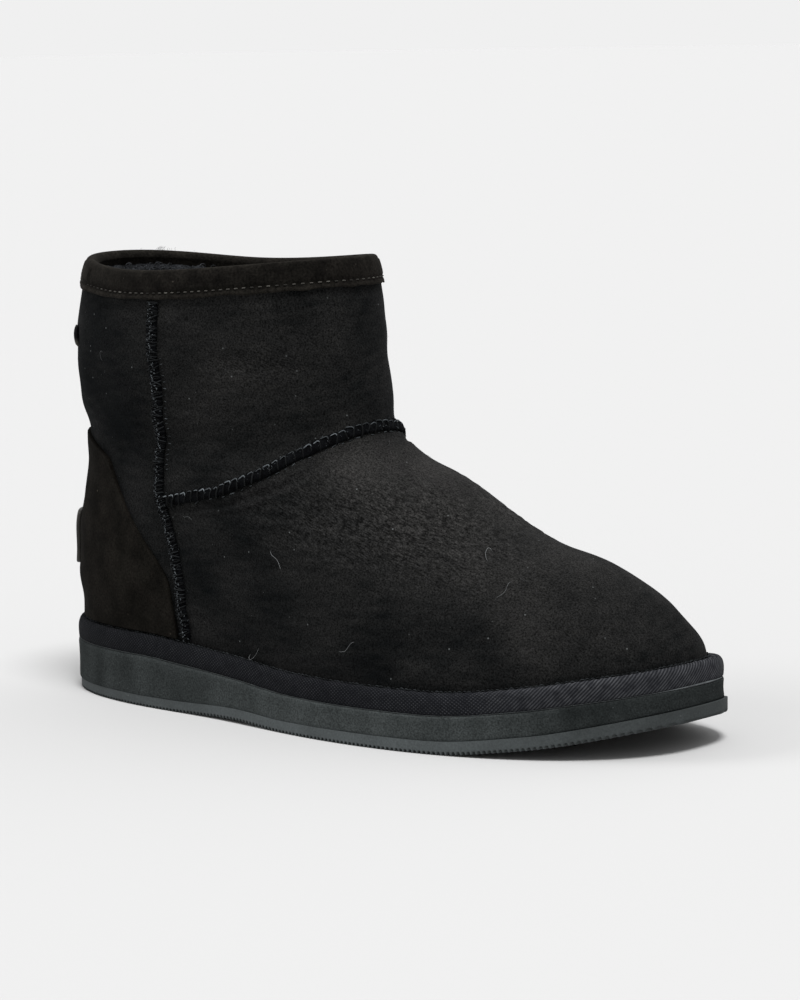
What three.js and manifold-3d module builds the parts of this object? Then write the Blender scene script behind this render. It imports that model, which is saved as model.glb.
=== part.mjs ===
import * as THREE from 'three';
import Module from 'manifold-3d';

// A pull-on sheepskin ankle boot for the right foot, in millimetres.
// +X points to the toe and +Z up, and the outer side of the foot lies towards -Y.

// Sole
const SOLE_LENGTH = 285;
const BALL_WIDTH = 105;
const TOE_SWING = 19.5; // how far the toe's tip turns to the inner side
const WAIST_PINCH = 8.8; // how far the waist is drawn in on the outer side
const TOE_SPRING = 11;
const ARCH_RISE = 1;
const HEEL_BEVEL = 0.8;
const OUTSOLE_HEEL = 4; // outsole thickness at the heel
const OUTSOLE_TOE = 5.2; // outsole thickness at the toe
const OUTSOLE_INSET = 0.9; // the outsole stands back from the midsole at the heel
const OUTSOLE_LIP = 1.4; // the outsole stands out past the midsole at the toe
const MIDSOLE_HEEL = 15.8; // midsole thickness at the heel, at the ball and at the toe
const MIDSOLE_BALL = 9.2;
const MIDSOLE_TOE = 7.5;
const EDGE_ROUND = 0.8; // how far the sole's edges are rounded back
const INSOLE_THICKNESS = 4;
const INSOLE_CLEARANCE = 1;

// Upper
const UPPER_HEIGHT = 151; // from the sole to the rim, at the back
const ANKLE_HEIGHT = 81.5; // from the sole to where the foot turns into the shaft
const SHAFT_LENGTH = 139;
const SHAFT_WIDTH = 82.5;
const COLLAR_DIP = 5; // the rim is lower at the sides
const UPPER_WALL = 2.6;

// Trim on the upper
const BINDING_THICKNESS = 1;
const BINDING_DROP = 10; // how far the binding reaches down outside
const BINDING_TURN_IN = 8; // how far it reaches down inside
const TAPE_REACH = 4.5; // from the upper's foot to the sole's edge
const TAPE_HEIGHT = 7.8;
const COUNTER_THICKNESS = 1.2;
const COUNTER_HEIGHT = 83; // from the sole to the top of the heel patch
const LABEL_WIDTH = 38;
const LABEL_HEIGHT = 21;
const LABEL_THICKNESS = 1.3;
const LABEL_FOOT = 27.5; // from the sole to the lower edge of the label
const TAB_WIDTH = 5;
const TAB_HEIGHT = 8;
const TAB_THICKNESS = 1.1;
const TAB_DROP = 26; // from the rim to the upper edge of the small tab
const TAB_SETBACK = 31; // round the skin from the middle of the heel to the small tab
const SIDE_SEAM_WIDTH = 5;
const SIDE_SEAM_HEIGHT = 1.8;
const VAMP_SEAM_WIDTH = 4.4;
const VAMP_SEAM_HEIGHT = 2;

// Facing surfaces of two pieces keep GAP, and trim ends TRIM_GAP short of the tape and the binding
const GAP = 0.3;
const TRIM_GAP = 0.9;

// Fineness of the facets
const AROUND = 56;
const LEVELS = 17;
const SIDE_SEAM_STATIONS = 20;
const VAMP_SEAM_STATIONS = 31;
const COUNTER_STATIONS = 9;
const LABEL_STATIONS = 4;
const TAB_STATIONS = 2;

// Outline of the sole, as shares of its length and of the ball's width.
// The curves are exponents: 2 is an ellipse, and more is squarer.
const OUTLINE = { widest: 0.614, outer: 0.523, inner: 0.477, backCurve: 2.43, frontCurve: 2.52 };
const WAIST_AT = 0.368 * SOLE_LENGTH;
const WAIST_SPREAD = 0.193 * SOLE_LENGTH;
const INNER_PINCH = 1.6; // the inner waist is drawn in this many times as far
const PINCH_FADE = 1.5; // how fast the pinch grows away from the heel's and toe's ends
const SWING_FROM = 0.42 * SOLE_LENGTH;
const SWING_POWER = 1.6;

// Heights along the sole. at is the share of its length; the rest are shares of the named rises.
const FLOOR_COLUMNS = ['at', 'bevel', 'arch', 'spring'];
const FLOOR_PROFILE = [
  [0, 1, 0, 0],
  [0.042, 0, 0, 0],
  [0.263, 0, 0, 0],
  [0.404, 0, 1, 0],
  [0.51, 0, 0, 0],
  [0.735, 0, 0, 0],
  [0.86, 0, 0, 0.3],
  [1, 0, 0, 1],
];

// Midsole thickness along the sole, blended from its three named thicknesses
const WEDGE_COLUMNS = ['at', 'heel', 'ball', 'toe'];
const WEDGE_PROFILE = [
  [0, 1, 0, 0],
  [0.21, 1, 0, 0],
  [0.42, 0.28, 0.72, 0],
  [0.6, 0.02, 0.98, 0],
  [0.88, 0, 0.95, 0.05],
  [1, 0, 0, 1],
];

// Rings of the foot. rise is the share of the ankle's height; heel, toe and widest are shares of the
// sole's length; outer and inner are half widths as shares of the ball's width; waist is the share of
// the waist's pinch. The lowest ring follows the sole's own outline.
const RING_COLUMNS = ['rise', 'heel', 'toe', 'widest', 'outer', 'inner', 'backCurve', 'frontCurve', 'waist'];
const FOOT_RINGS = [
  [0.13, 0.0150, 0.979, 0.611, 0.485, 0.438, 2.43, 2.48, 0.90],
  [0.333, 0.0035, 0.943, 0.589, 0.472, 0.434, 2.40, 2.20, 0.60],
  [0.52, 0.0050, 0.865, 0.526, 0.440, 0.416, 2.35, 2.05, 0.30],
  [0.705, 0.0180, 0.744, 0.439, 0.414, 0.400, 2.25, 2.00, 0.10],
  [0.89, 0.0265, 0.642, 0.351, 0.380, 0.376, 2.20, 2.00, 0.00],
];

// Rings of the shaft. rise is the share of the way from the ankle to the rim, and the lengths and
// widths are shares of the shaft's own.
const SHAFT_RINGS = [
  [0.04, 0.050, 1.112, 0.604, 0.467, 0.461, 2.15, 2.10, 0],
  [0.22, 0.037, 1.069, 0.547, 0.491, 0.485, 2.15, 2.15, 0],
  [0.565, 0.039, 1.040, 0.518, 0.503, 0.497, 2.20, 2.20, 0],
  [0.85, 0.062, 1.027, 0.523, 0.491, 0.487, 2.20, 2.20, 0],
  [1, 0.088, 1.008, 0.525, 0.475, 0.470, 2.20, 2.20, 0],
];
const DIP_AT = 0.43 * SHAFT_LENGTH;

// Side seam. level is the share of the way from the sole to the rim, around the share of the way
// round the upper from the heel.
const SIDE_SEAM_COLUMNS = ['level', 'around'];
const SIDE_SEAM_ROUTE = [
  [0, 0.175],
  [0.1, 0.176],
  [0.19, 0.179],
  [0.33, 0.188],
  [0.42, 0.196],
  [0.49, 0.212],
  [0.6, 0.243],
  [0.73, 0.254],
  [1, 0.253],
];

// Vamp seam, from the outer side seam to the crest of the instep. between is the share of that way
// round, and climb the share of the rise between the two levels.
const VAMP_SEAM_FOOT = 0.41;
const VAMP_SEAM_CREST = 0.607;
const VAMP_SEAM_COLUMNS = ['between', 'climb'];
const VAMP_SEAM_ROUTE = [
  [0, 0],
  [0.12, 0.15],
  [0.6, 0.72],
  [0.75, 0.88],
  [0.9, 0.98],
  [1, 1],
];

// Side edge of the heel patch: a tongue up the back that widens to the side seams at its foot
const COUNTER_COLUMNS = ['share', 'around'];
const COUNTER_EDGE = [
  [0, 0.170],
  [0.3, 0.172],
  [0.4, 0.168],
  [0.58, 0.157],
  [0.68, 0.152],
  [0.75, 0.147],
  [1, 0.143],
];
const COUNTER_SHOULDER = 0.14; // how far its top falls to the corners, as a share of its height
const COUNTER_ROUNDNESS = 3;

// Section of the binding's arch over the rim. face is 0 on the wall's outer face and 1 on its inner
// one; stand and over are shares of the arch's stand-off, away from that face and above the rim; drop
// is the share of the way down to that side's edge.
const ARCH_COLUMNS = ['face', 'stand', 'drop', 'over'];
const ARCH_SECTION = [
  [0, 1, 1, 0],
  [0, 1, 0.6, 0],
  [0, 1, 0.1, 0],
  [0, 0.7, 0, 0.7],
  [0.25, 0, 0, 1],
  [0.75, 0, 0, 1],
  [1, 0.7, 0, 0.7],
  [1, 1, 0.1, 0],
  [1, 1, 1, 0],
  [0.9, 0, 1, 0],
  [0.5, 0, 0.5, 0],
  [0.1, 0, 1, 0],
];

// Section of the rand tape. across runs from the upper's face to the sole's edge, up from its foot to
// its top.
const TAPE_COLUMNS = ['across', 'up'];
const TAPE_SECTION = [
  [0, 0],
  [0.95, 0],
  [1, 0.2],
  [0.98, 0.6],
  [0.75, 0.92],
  [0.4, 1],
  [0, 0.9],
];

// Section of a raised seam. side is the share of its half width, high the share of its height.
const SEAM_COLUMNS = ['side', 'high'];
const SEAM_SECTION = [
  [-1, 0.3],
  [-0.55, 0.93],
  [0, 1],
  [0.55, 0.93],
  [1, 0.3],
];
const SINK = 1; // a trim blank starts this far inside the skin and is cut back to it
const BLANK_REACH = 6; // a patch blank stands out this far and is cut back to its thickness

const ANKLE_LEVEL = ANKLE_HEIGHT / UPPER_HEIGHT;
const PROBE = 0.001; // step of the slopes on the skin

const wasm = await Module();
wasm.setup();

// Curves and tables

function column(table, columns, name) {
  const index = columns.indexOf(name);
  return table.map((row) => row[index]);
}

function spacedEvenly(count) {
  return Array.from({ length: count }, (_, index) => index / (count - 1));
}

// A smooth curve through its points that never overshoots them
function smoothCurve(keys, values) {
  const last = keys.length - 1;
  const widths = keys.slice(1).map((key, i) => key - keys[i]);
  const slopes = widths.map((width, i) => (values[i + 1] - values[i]) / width);
  const tangents = keys.map((_, i) => {
    if (i === 0 || i === last) {
      return slopes[Math.max(0, i - 1)];
    }
    if (slopes[i - 1] * slopes[i] <= 0) {
      return 0;
    }
    const before = 2 * widths[i] + widths[i - 1];
    const after = widths[i] + 2 * widths[i - 1];
    return (before + after) / (before / slopes[i - 1] + after / slopes[i]);
  });
  return (key) => {
    const held = Math.min(Math.max(key, keys[0]), keys[last]);
    const i = Math.max(0, keys.findLastIndex((knot, k) => knot <= held && k < last));
    const t = (held - keys[i]) / widths[i];
    const start = (1 + 2 * t) * (1 - t) ** 2 * values[i] + t * (1 - t) ** 2 * widths[i] * tangents[i];
    const end = t * t * (3 - 2 * t) * values[i + 1] + t * t * (t - 1) * widths[i] * tangents[i + 1];
    return start + end;
  };
}

function tableCurve(table, columns, key, name) {
  return smoothCurve(column(table, columns, key), column(table, columns, name));
}

function signedPower(value, power) {
  return Math.sign(value) * Math.abs(value) ** power;
}

// Heights of the sole along its length

const bevelShare = tableCurve(FLOOR_PROFILE, FLOOR_COLUMNS, 'at', 'bevel');
const archShare = tableCurve(FLOOR_PROFILE, FLOOR_COLUMNS, 'at', 'arch');
const springShare = tableCurve(FLOOR_PROFILE, FLOOR_COLUMNS, 'at', 'spring');
const heelShare = tableCurve(WEDGE_PROFILE, WEDGE_COLUMNS, 'at', 'heel');
const ballShare = tableCurve(WEDGE_PROFILE, WEDGE_COLUMNS, 'at', 'ball');
const toeShare = tableCurve(WEDGE_PROFILE, WEDGE_COLUMNS, 'at', 'toe');

function outsoleBottom(x) {
  const at = x / SOLE_LENGTH;
  return HEEL_BEVEL * bevelShare(at) + ARCH_RISE * archShare(at) + TOE_SPRING * springShare(at);
}

function outsoleTop(x) {
  const at = Math.min(Math.max(x / SOLE_LENGTH, 0), 1);
  return outsoleBottom(x) + OUTSOLE_HEEL + (OUTSOLE_TOE - OUTSOLE_HEEL) * at;
}

function midsoleTop(x) {
  const at = x / SOLE_LENGTH;
  const wedge = MIDSOLE_HEEL * heelShare(at) + MIDSOLE_BALL * ballShare(at) + MIDSOLE_TOE * toeShare(at);
  return outsoleTop(x) + wedge;
}

function upperFoot(x) {
  return midsoleTop(x) + GAP;
}

const dipShare = smoothCurve([0, DIP_AT, SHAFT_LENGTH], [0, 1, 0]);

function rim(x) {
  return upperFoot(0) + UPPER_HEIGHT - COLLAR_DIP * dipShare(x);
}

// Rings

function toeSwing(x) {
  const share = Math.min(Math.max((x - SWING_FROM) / (SOLE_LENGTH - SWING_FROM), 0), 1);
  return TOE_SWING * share ** SWING_POWER;
}

// A point of a ring. around runs from the heel (0) past the outer side (0.25) and the toe (0.5).
function ringPoint(ring, around) {
  const angle = 2 * Math.PI * around;
  const along = Math.cos(angle);
  const across = Math.sin(angle);
  const power = 2 / (along > 0 ? ring.backCurve : ring.frontCurve);
  const reach = along > 0 ? ring.widest - ring.heel : ring.toe - ring.widest;
  const x = ring.widest - reach * signedPower(along, power);
  const halfWidth = across > 0 ? ring.outer : ring.inner;
  const sidePinch = ring.pinch * (across > 0 ? 1 : INNER_PINCH);
  const nearWaist = Math.exp(-(((x - WAIST_AT) / WAIST_SPREAD) ** 2));
  const drawnIn = sidePinch * nearWaist * Math.min(1, PINCH_FADE * Math.abs(across));
  const y = Math.sign(across) * drawnIn - halfWidth * signedPower(across, power) + toeSwing(x);
  return new THREE.Vector3(x, y, 0);
}

// The sole's outline, drawn in all round, or at its ends by amounts of their own
function soleRing(inset, heelInset = inset, toeInset = inset) {
  return {
    heel: heelInset,
    toe: SOLE_LENGTH - toeInset,
    widest: OUTLINE.widest * SOLE_LENGTH,
    outer: OUTLINE.outer * BALL_WIDTH - inset,
    inner: OUTLINE.inner * BALL_WIDTH - inset,
    backCurve: OUTLINE.backCurve,
    frontCurve: OUTLINE.frontCurve,
    pinch: WAIST_PINCH,
  };
}

function upperRing(row, length, width, level) {
  const value = (name) => row[RING_COLUMNS.indexOf(name)];
  return {
    level: level(value('rise')),
    heel: value('heel') * length,
    toe: value('toe') * length,
    widest: value('widest') * length,
    outer: value('outer') * width,
    inner: value('inner') * width,
    backCurve: value('backCurve'),
    frontCurve: value('frontCurve'),
    pinch: value('waist') * WAIST_PINCH,
  };
}

const footLevel = (rise) => rise * ANKLE_LEVEL;
const shaftLevel = (rise) => ANKLE_LEVEL + rise * (1 - ANKLE_LEVEL);
const upperRings = [
  { level: 0, ...soleRing(TAPE_REACH) },
  ...FOOT_RINGS.map((row) => upperRing(row, SOLE_LENGTH, BALL_WIDTH, footLevel)),
  ...SHAFT_RINGS.map((row) => upperRing(row, SHAFT_LENGTH, SHAFT_WIDTH, shaftLevel)),
];
const ringLevels = upperRings.map((ring) => ring.level);
const ringParts = ['heel', 'toe', 'widest', 'outer', 'inner', 'backCurve', 'frontCurve', 'pinch'];
const ringCurves = ringParts.map((part) => smoothCurve(ringLevels, upperRings.map((ring) => ring[part])));

// The upper's outer skin

function skinPoint(around, level) {
  const ring = Object.fromEntries(ringParts.map((part, i) => [part, ringCurves[i](level)]));
  const point = ringPoint(ring, around);
  const foot = upperFoot(point.x);
  point.z = foot + level * (rim(point.x) - foot);
  return point;
}

function skinSlopes(around, level) {
  const below = Math.max(level - PROBE, 0);
  const above = Math.min(level + PROBE, 1);
  const round = skinPoint(around + PROBE, level).sub(skinPoint(around - PROBE, level));
  const up = skinPoint(around, above).sub(skinPoint(around, below));
  return {
    round: round.divideScalar(2 * PROBE),
    up: up.divideScalar(above - below),
  };
}

function skinNormal(around, level) {
  const { round, up } = skinSlopes(around, level);
  return round.cross(up).normalize();
}

function liftedSkin(around, level, lift) {
  return skinPoint(around, level).addScaledVector(skinNormal(around, level), lift);
}

function levelOfHeight(around, height) {
  const foot = skinPoint(around, 0);
  return height / (rim(foot.x) - foot.z);
}

function levelOfDrop(around, drop) {
  const top = skinPoint(around, 1);
  return 1 - drop / (top.z - upperFoot(top.x));
}

// Closed bodies

// Turns the faces out where the list of points and triangles encloses a negative volume
function facedOut(points, faces) {
  const volume = faces.reduce((sum, [a, b, c]) => {
    const normal = new THREE.Vector3().crossVectors(points[b], points[c]);
    return sum + points[a].dot(normal);
  }, 0);
  return { points, faces: volume > 0 ? faces : faces.map(([a, b, c]) => [a, c, b]) };
}

function quad(a, b, c, d) {
  return [[a, b, c], [a, c, d]];
}

// A closed band: sections[i] is the closed section at the i-th station round the boot
function band(sections) {
  const count = sections[0].length;
  const faces = [];
  sections.forEach((_, i) => {
    const here = i * count;
    const next = ((i + 1) % sections.length) * count;
    for (let j = 0; j < count; j += 1) {
      const k = (j + 1) % count;
      faces.push(...quad(here + j, next + j, next + k, here + k));
    }
  });
  return facedOut(sections.flat(), faces);
}

// A stack of closed rings with a floor and a lid, each laid in strips across the boot
function stack(rings) {
  const count = rings[0].length;
  const faces = [];
  for (let level = 0; level + 1 < rings.length; level += 1) {
    for (let i = 0; i < count; i += 1) {
      const j = (i + 1) % count;
      const here = level * count;
      faces.push(...quad(here + i, here + j, here + count + j, here + count + i));
    }
  }
  [0, (rings.length - 1) * count].forEach((start, end) => {
    for (let i = 0; i < count / 2; i += 1) {
      const outer = [start + i, start + i + 1];
      const inner = [start + count - i - 1, start + ((count - i) % count)];
      const strip = quad(outer[0], outer[1], inner[0], inner[1]);
      const kept = strip.filter((face) => new Set(face).size === face.length);
      faces.push(...kept.map(([a, b, c]) => (end ? [a, b, c] : [a, c, b])));
    }
  });
  return facedOut(rings.flat(), faces);
}

// A sheet between two grids of points with the same rows and columns
function slab(under, over) {
  const rows = under.length;
  const columns = under[0].length;
  const lift = rows * columns;
  const at = (i, j) => i * columns + j;
  const faces = [];
  for (let i = 0; i + 1 < rows; i += 1) {
    for (let j = 0; j + 1 < columns; j += 1) {
      const corners = [at(i, j), at(i + 1, j), at(i + 1, j + 1), at(i, j + 1)];
      faces.push(...quad(...corners.map((corner) => corner + lift)));
      faces.push(...quad(...corners.toReversed()));
    }
    faces.push(...quad(at(i + 1, 0), at(i + 1, 0) + lift, at(i, 0) + lift, at(i, 0)));
    const end = columns - 1;
    faces.push(...quad(at(i, end), at(i, end) + lift, at(i + 1, end) + lift, at(i + 1, end)));
  }
  for (let j = 0; j + 1 < columns; j += 1) {
    faces.push(...quad(at(0, j), at(0, j) + lift, at(0, j + 1) + lift, at(0, j + 1)));
    const end = rows - 1;
    faces.push(...quad(at(end, j + 1), at(end, j + 1) + lift, at(end, j) + lift, at(end, j)));
  }
  return facedOut([...under.flat(), ...over.flat()], faces);
}

function toManifold({ points, faces }) {
  const vertProperties = new Float32Array(points.flatMap((point) => point.toArray()));
  const triVerts = new Uint32Array(faces.flat());
  return new wasm.Manifold(new wasm.Mesh({ numProp: 3, vertProperties, triVerts }));
}

function fromManifold(body) {
  const { vertProperties, triVerts, numProp } = body.getMesh();
  const points = [];
  for (let i = 0; i < vertProperties.length; i += numProp) {
    points.push(new THREE.Vector3(vertProperties[i], vertProperties[i + 1], vertProperties[i + 2]));
  }
  const faces = [];
  for (let i = 0; i < triVerts.length; i += 3) {
    faces.push([triVerts[i], triVerts[i + 1], triVerts[i + 2]]);
  }
  return { points, faces };
}

function sheet(name, { points, faces }, colour, roughness) {
  const geometry = new THREE.BufferGeometry();
  const positions = points.flatMap((point) => point.toArray());
  geometry.setAttribute('position', new THREE.Float32BufferAttribute(positions, 3));
  geometry.setIndex(faces.flat());
  geometry.computeVertexNormals();
  const material = new THREE.MeshStandardMaterial({ color: colour, roughness, metalness: 0 });
  const mesh = new THREE.Mesh(geometry, material);
  mesh.name = name;
  return mesh;
}

const stationsAround = Array.from({ length: AROUND }, (_, index) => index / AROUND);

// Levels of the upper's rings, closer together where the instep turns into the shaft
const levelSpacing = smoothCurve([0, 0.25, 0.75, 1], [0, 0.5 * ANKLE_LEVEL, 1.25 * ANKLE_LEVEL, 1]);
const upperLevels = spacedEvenly(LEVELS).map(levelSpacing);

// Sole

function soleLoop(ring, height) {
  return stationsAround.map((around) => {
    const point = ringPoint(ring, around);
    point.z = height(point.x);
    return point;
  });
}

function makeOutsole() {
  const edge = soleRing(0, OUTSOLE_INSET, -OUTSOLE_LIP);
  const tread = soleRing(EDGE_ROUND, OUTSOLE_INSET + EDGE_ROUND, EDGE_ROUND - OUTSOLE_LIP);
  return stack([
    soleLoop(tread, outsoleBottom),
    soleLoop(edge, (x) => outsoleBottom(x) + EDGE_ROUND),
    soleLoop(edge, outsoleTop),
  ]);
}

function makeMidsole() {
  const edge = soleRing(0);
  const shoulder = soleRing(EDGE_ROUND);
  return stack([
    soleLoop(edge, (x) => outsoleTop(x) + GAP),
    soleLoop(edge, (x) => midsoleTop(x) - EDGE_ROUND),
    soleLoop(shoulder, midsoleTop),
  ]);
}

function makeInsole() {
  const inset = TAPE_REACH + UPPER_WALL + INSOLE_CLEARANCE;
  const edge = soleRing(inset);
  const shoulder = soleRing(inset + EDGE_ROUND);
  return stack([
    soleLoop(edge, upperFoot),
    soleLoop(edge, (x) => upperFoot(x) + INSOLE_THICKNESS - EDGE_ROUND),
    soleLoop(shoulder, (x) => upperFoot(x) + INSOLE_THICKNESS),
  ]);
}

// Upper, with its inner face a wall's thickness inside the skin. Grown, it cuts what wraps its rim.

function makeWall(growth) {
  return band(stationsAround.map((around) => {
    const outside = upperLevels.map((level) => liftedSkin(around, level, growth));
    const inside = upperLevels.map((level) => liftedSkin(around, level, -UPPER_WALL - growth));
    [outside, inside].forEach((face) => {
      face[0].z = upperFoot(face[0].x) - growth;
      face.at(-1).z = rim(face.at(-1).x) + growth;
    });
    return [...outside, ...inside.toReversed()];
  }));
}

// The skin grown outwards and filled in, which cuts trim to lie on the upper
function grownUpper(lift) {
  const rings = upperLevels.map((level) => stationsAround.map((around) => liftedSkin(around, level, lift)));
  const foot = rings[0].map((point) => point.clone().setZ(point.z - SINK));
  return toManifold(stack([foot, ...rings]));
}

function makeTape() {
  const edge = soleRing(0);
  const acrossShares = column(TAPE_SECTION, TAPE_COLUMNS, 'across');
  const upShares = column(TAPE_SECTION, TAPE_COLUMNS, 'up');
  const blank = band(stationsAround.map((around) => acrossShares.map((across, i) => {
    const height = upShares[i] * TAPE_HEIGHT;
    const onSkin = liftedSkin(around, levelOfHeight(around, height), -SINK);
    const point = onSkin.lerp(ringPoint(edge, around), across);
    point.z = upperFoot(point.x) + height;
    return point;
  })));
  return fromManifold(toManifold(blank).subtract(grownUpper(GAP)));
}

// The binding is an arch over the rim, hollowed by the grown wall
function makeBinding() {
  const standOff = GAP + BINDING_THICKNESS;
  const part = (row, name) => row[ARCH_COLUMNS.indexOf(name)];
  const cornerPoint = (around, row) => {
    const face = part(row, 'face');
    const away = Math.sign(0.5 - face) * part(row, 'stand') * standOff;
    const reach = BINDING_DROP + face * (BINDING_TURN_IN - BINDING_DROP);
    const level = levelOfDrop(around, part(row, 'drop') * reach);
    const point = liftedSkin(around, level, away - face * UPPER_WALL);
    point.z += part(row, 'over') * standOff;
    return point;
  };
  const blank = band(stationsAround.map((around) => ARCH_SECTION.map((row) => cornerPoint(around, row))));
  return fromManifold(toManifold(blank).subtract(toManifold(makeWall(GAP))));
}

// Trim that lies on the skin

// The place reached from a route's station by going sideways over the skin
function besideRoute(route, index, sideways) {
  const here = route[index];
  const before = route[Math.max(index - 1, 0)];
  const after = route[Math.min(index + 1, route.length - 1)];
  const { round, up } = skinSlopes(here.around, here.level);
  const onward = round.clone().multiplyScalar(after.around - before.around);
  onward.addScaledVector(up, after.level - before.level).normalize();
  const side = round.clone().cross(up).normalize().cross(onward).multiplyScalar(sideways);
  const rr = round.dot(round);
  const ru = round.dot(up);
  const uu = up.dot(up);
  const scale = rr * uu - ru * ru;
  const aroundStep = (side.dot(round) * uu - side.dot(up) * ru) / scale;
  const levelStep = (side.dot(up) * rr - side.dot(round) * ru) / scale;
  return { around: here.around + aroundStep, level: here.level + levelStep };
}

function makeSeam(route, width, height) {
  const sides = column(SEAM_SECTION, SEAM_COLUMNS, 'side');
  const highs = column(SEAM_SECTION, SEAM_COLUMNS, 'high');
  const rows = (lift) => route.map((_, i) => sides.map((side, j) => {
    const place = besideRoute(route, i, side * width / 2);
    return liftedSkin(place.around, place.level, lift(highs[j]));
  }));
  const blank = slab(rows(() => -SINK), rows((high) => GAP + high * height));
  return fromManifold(toManifold(blank).subtract(grownUpper(GAP)));
}

const seamAround = tableCurve(SIDE_SEAM_ROUTE, SIDE_SEAM_COLUMNS, 'level', 'around');

// side is 1 for the outer half of the boot and -1 for the inner half
function makeSideSeam(side) {
  const lowest = levelOfHeight(seamAround(0), TAPE_HEIGHT + TRIM_GAP);
  const highest = levelOfDrop(seamAround(1), BINDING_DROP + TRIM_GAP);
  const route = spacedEvenly(SIDE_SEAM_STATIONS).map((share) => {
    const level = lowest + share * (highest - lowest);
    return { around: side * seamAround(level), level };
  });
  return makeSeam(route, SIDE_SEAM_WIDTH, SIDE_SEAM_HEIGHT);
}

function makeVampSeam() {
  const climb = tableCurve(VAMP_SEAM_ROUTE, VAMP_SEAM_COLUMNS, 'between', 'climb');
  const start = seamAround(VAMP_SEAM_FOOT);
  const clearOfSideSeam = SIDE_SEAM_WIDTH / 2 + VAMP_SEAM_WIDTH / 4 + 2 * GAP;
  const startShare = clearOfSideSeam / skinSlopes(start, VAMP_SEAM_FOOT).round.length() / (0.5 - start);
  const route = spacedEvenly(VAMP_SEAM_STATIONS).map((share) => {
    const toCrest = 1 - Math.abs(2 * share - 1);
    const between = startShare + (1 - startShare) * toCrest;
    const around = start + between * (0.5 - start);
    return {
      around: share < 0.5 ? around : 1 - around,
      level: VAMP_SEAM_FOOT + climb(between) * (VAMP_SEAM_CREST - VAMP_SEAM_FOOT),
    };
  });
  return makeSeam(route, VAMP_SEAM_WIDTH, VAMP_SEAM_HEIGHT);
}

// A patch of even thickness on the skin: place turns shares across and up into a place on the skin
function makePatch(place, stations, underLift, thickness) {
  const shares = spacedEvenly(stations);
  const rows = (lift) => shares.map((up) => shares.map((across) => {
    const { around, level } = place(2 * across - 1, up);
    return liftedSkin(around, level, lift);
  }));
  const blank = toManifold(slab(rows(-SINK), rows(BLANK_REACH)));
  const outerFace = grownUpper(underLift + thickness);
  return fromManifold(blank.intersect(outerFace).subtract(grownUpper(underLift)));
}

function makeCounter() {
  const edge = tableCurve(COUNTER_EDGE, COUNTER_COLUMNS, 'share', 'around');
  const place = (across, up) => {
    const shoulder = 1 - COUNTER_SHOULDER * Math.abs(across) ** COUNTER_ROUNDNESS;
    const around = across * edge(up * shoulder);
    const lowest = levelOfHeight(around, TAPE_HEIGHT + TRIM_GAP);
    const highest = levelOfHeight(around, COUNTER_HEIGHT);
    return { around, level: lowest + up * shoulder * (highest - lowest) };
  };
  return makePatch(place, COUNTER_STATIONS, GAP, COUNTER_THICKNESS);
}

// The share of the way round that lies a real distance from another, measured over the skin
function walkRound(start, level, distance) {
  const step = Math.sign(distance) * PROBE;
  let around = start;
  let here = skinPoint(around, level);
  let walked = 0;
  while (walked < Math.abs(distance)) {
    around += step;
    const next = skinPoint(around, level);
    walked += here.distanceTo(next);
    here = next;
  }
  return around;
}

// Turns shares across and up into a place in a small upright patch of a real width and height
function uprightPatch(middle, foot, width, height) {
  return (across, up) => {
    const level = levelOfHeight(0, foot + up * height);
    return { around: walkRound(0, level, middle + 0.5 * across * width), level };
  };
}

function makeLabel() {
  const place = uprightPatch(0, LABEL_FOOT, LABEL_WIDTH, LABEL_HEIGHT);
  return makePatch(place, LABEL_STATIONS, COUNTER_THICKNESS + 2 * GAP, LABEL_THICKNESS);
}

function makeTab() {
  const place = uprightPatch(TAB_SETBACK, UPPER_HEIGHT - TAB_DROP - TAB_HEIGHT, TAB_WIDTH, TAB_HEIGHT);
  return makePatch(place, TAB_STATIONS, GAP, TAB_THICKNESS);
}

// Assembly, standing on the ground with the origin under the middle of its box

const boot = new THREE.Group();
boot.add(
  sheet('outsole', makeOutsole(), 0x8b8d90, 0.75),
  sheet('midsole', makeMidsole(), 0x55575a, 0.85),
  sheet('rand_tape', makeTape(), 0x33353d, 0.9),
  sheet('insole', makeInsole(), 0x6b6b6d, 0.95),
  sheet('upper', makeWall(0), 0x3a3b3f, 0.95),
  sheet('collar_binding', makeBinding(), 0x3a3531, 0.9),
  sheet('side_seam_outer', makeSideSeam(1), 0x45474c, 0.9),
  sheet('side_seam_inner', makeSideSeam(-1), 0x45474c, 0.9),
  sheet('vamp_seam', makeVampSeam(), 0x45474c, 0.9),
  sheet('heel_counter', makeCounter(), 0x3c3833, 0.85),
  sheet('heel_label', makeLabel(), 0x55544f, 0.7),
  sheet('back_tab', makeTab(), 0x2c2c2f, 0.8),
);
const box = new THREE.Box3().setFromObject(boot);
const middle = box.getCenter(new THREE.Vector3());
boot.position.set(-middle.x, -middle.y, -box.min.z);
boot.updateMatrixWorld(true);

export default boot;
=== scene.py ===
"""Looks of a sheepskin ankle boot for the right foot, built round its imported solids."""

import sys

import logging
import math
from dataclasses import dataclass, field
from enum import Enum, IntEnum
from typing import Callable

import bpy
import numpy as np
from mathutils import Matrix, Vector


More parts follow.
